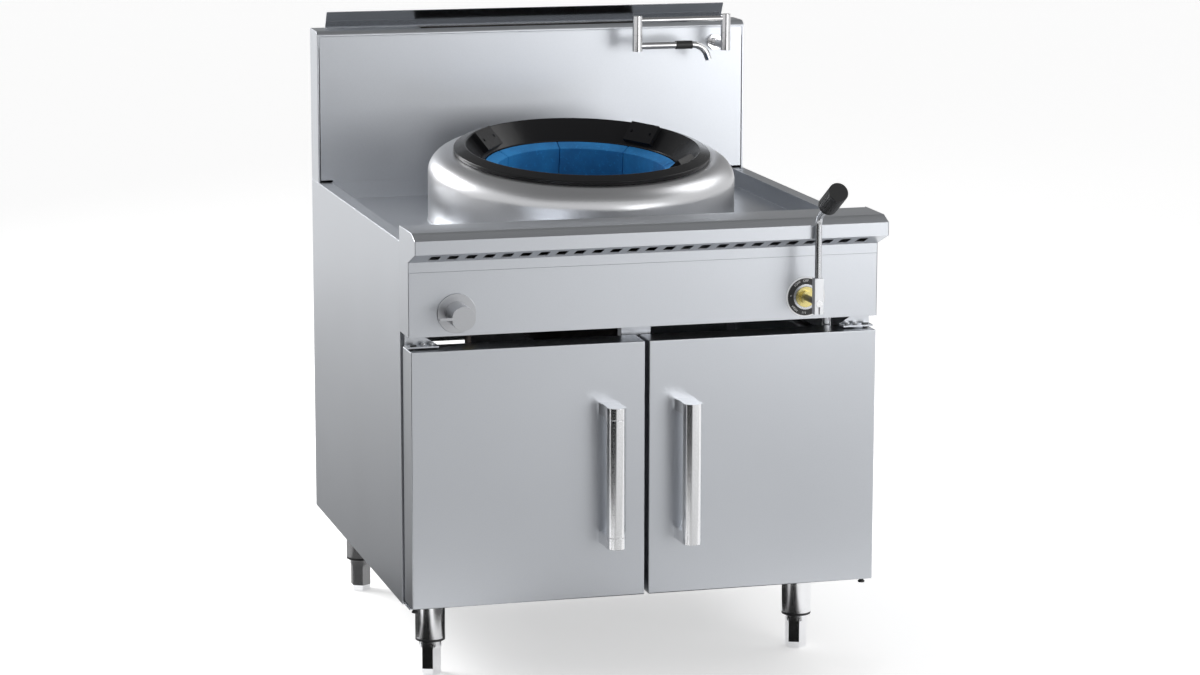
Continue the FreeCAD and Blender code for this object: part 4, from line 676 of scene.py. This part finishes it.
def card(name, place, aim, wide, tall, level, far_level, turn=0.0):
    """Board that only the metal mirrors, graded from its near edge to its far one."""
    bpy.ops.object.select_all(action="DESELECT")
    bpy.ops.mesh.primitive_plane_add(size=1.0, location=place, rotation=aimed(place, aim))
    board = bpy.context.active_object
    board.name = name
    board.scale = (wide, tall, 1.0)
    board.rotation_euler.rotate_axis("Z", math.radians(turn))
    felt, spot = new_finish(name + "_felt")
    across = spot.add("SeparateXYZ", outlet=1, Vector=spot) + 0.5
    near, far = (level, level, level), (far_level, far_level, far_level)
    shade(felt, Base_Color=BLACK, Specular_IOR_Level=0.0, Emission_Strength=1.0,
          Emission_Color=across.blend(near, far))
    board.data.materials.append(felt)
    board.visible_camera = False
    board.visible_diffuse = False
    board.visible_shadow = False


CLOTH_HEIGHT = 0.012


def cloth(name, x, y, wide, deep, level, far_level, turn=0.0):
    """Graded card that lies on the floor."""
    card(name, (x, y, CLOTH_HEIGHT), (x, y, -1.0), wide, deep, level, far_level, turn)


lamp("right_overhead", (2.7, 0.8, 3.3), (0.2, 0.0, 0.9), 1.6, 1.8, 24.0)
lamp("hot_spot", (-2.7, 2.7, 2.4), (-0.2, 0.0, 0.9), 2.2, 1.4, 160.0)
lamp("right_softbox", (2.7, -4.3, 1.35), (0.2, 0.2, 1.0), 2.4, 1.8, 50.0)
card("splash_flag", (-0.4, -6.2, 0.65), (-0.4, 0.0, 0.65), 4.2, 1.3, 0.35, 0.35)
card("rear_board", (0.6, 4.6, 3.0), (0.3, 0.0, 1.0), 9.0, 4.2, 0.3, 0.3)
card("ceiling_card", (0.0, 0.3, 4.4), (0.0, 0.3, 0.9), 7.0, 7.0, 0.25, 0.25)
card("left_flag", (-1.25, -1.35, 0.42), (-0.2, -0.45, 0.42), 2.3, 0.9, 0.01, 0.01)
cloth("left_cloth", -1.75, -1.5, 2.4, 1.2, 0.01, 0.01, -58.0)
cloth("side_cloth", -1.3, 2.1, 2.4, 4.2, 0.22, 0.68)
cloth("front_cloth", 0.8, -2.7, 3.2, 3.2, 1.0, 0.64)
FOOT_CLOTH_LEFT, FOOT_CLOTH_FORWARD = 0.27, 0.32
FOOT_CLOTH_WIDE, FOOT_CLOTH_DEEP, FOOT_CLOTH_LEVEL, FOOT_CLOTH_TURN = 0.4, 0.8, 0.01, -40.0
for foot in ("foot_front_left", "foot_rear_left", "foot_front_right", "foot_rear_right"):
    low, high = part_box(foot)
    cloth(foot + "_cloth", (low[0] + high[0]) / 2 - FOOT_CLOTH_LEFT,
          (low[1] + high[1]) / 2 - FOOT_CLOTH_FORWARD, FOOT_CLOTH_WIDE, FOOT_CLOTH_DEEP,
          FOOT_CLOTH_LEVEL, FOOT_CLOTH_LEVEL, FOOT_CLOTH_TURN)

CAMERA_PLACE = (-1.8230, -6.6283, 1.8962)
CAMERA_YAW, CAMERA_PITCH, CAMERA_ROLL = 0.2698, -0.1856, 0.0013
CAMERA_SENSOR, CAMERA_LENS = 36.0, 107.87
camera = bpy.data.objects.new("camera", bpy.data.cameras.new("camera"))
bpy.context.scene.collection.objects.link(camera)
camera.data.sensor_width = CAMERA_SENSOR
camera.data.lens = CAMERA_LENS
camera.matrix_world = (Matrix.Translation(CAMERA_PLACE)
                       @ Matrix.Rotation(-CAMERA_YAW, 4, "Z")
                       @ Matrix.Rotation(math.pi / 2 + CAMERA_PITCH, 4, "X")
                       @ Matrix.Rotation(CAMERA_ROLL, 4, "Z"))
bpy.context.scene.camera = camera
bpy.context.scene.view_settings.view_transform = "Standard"
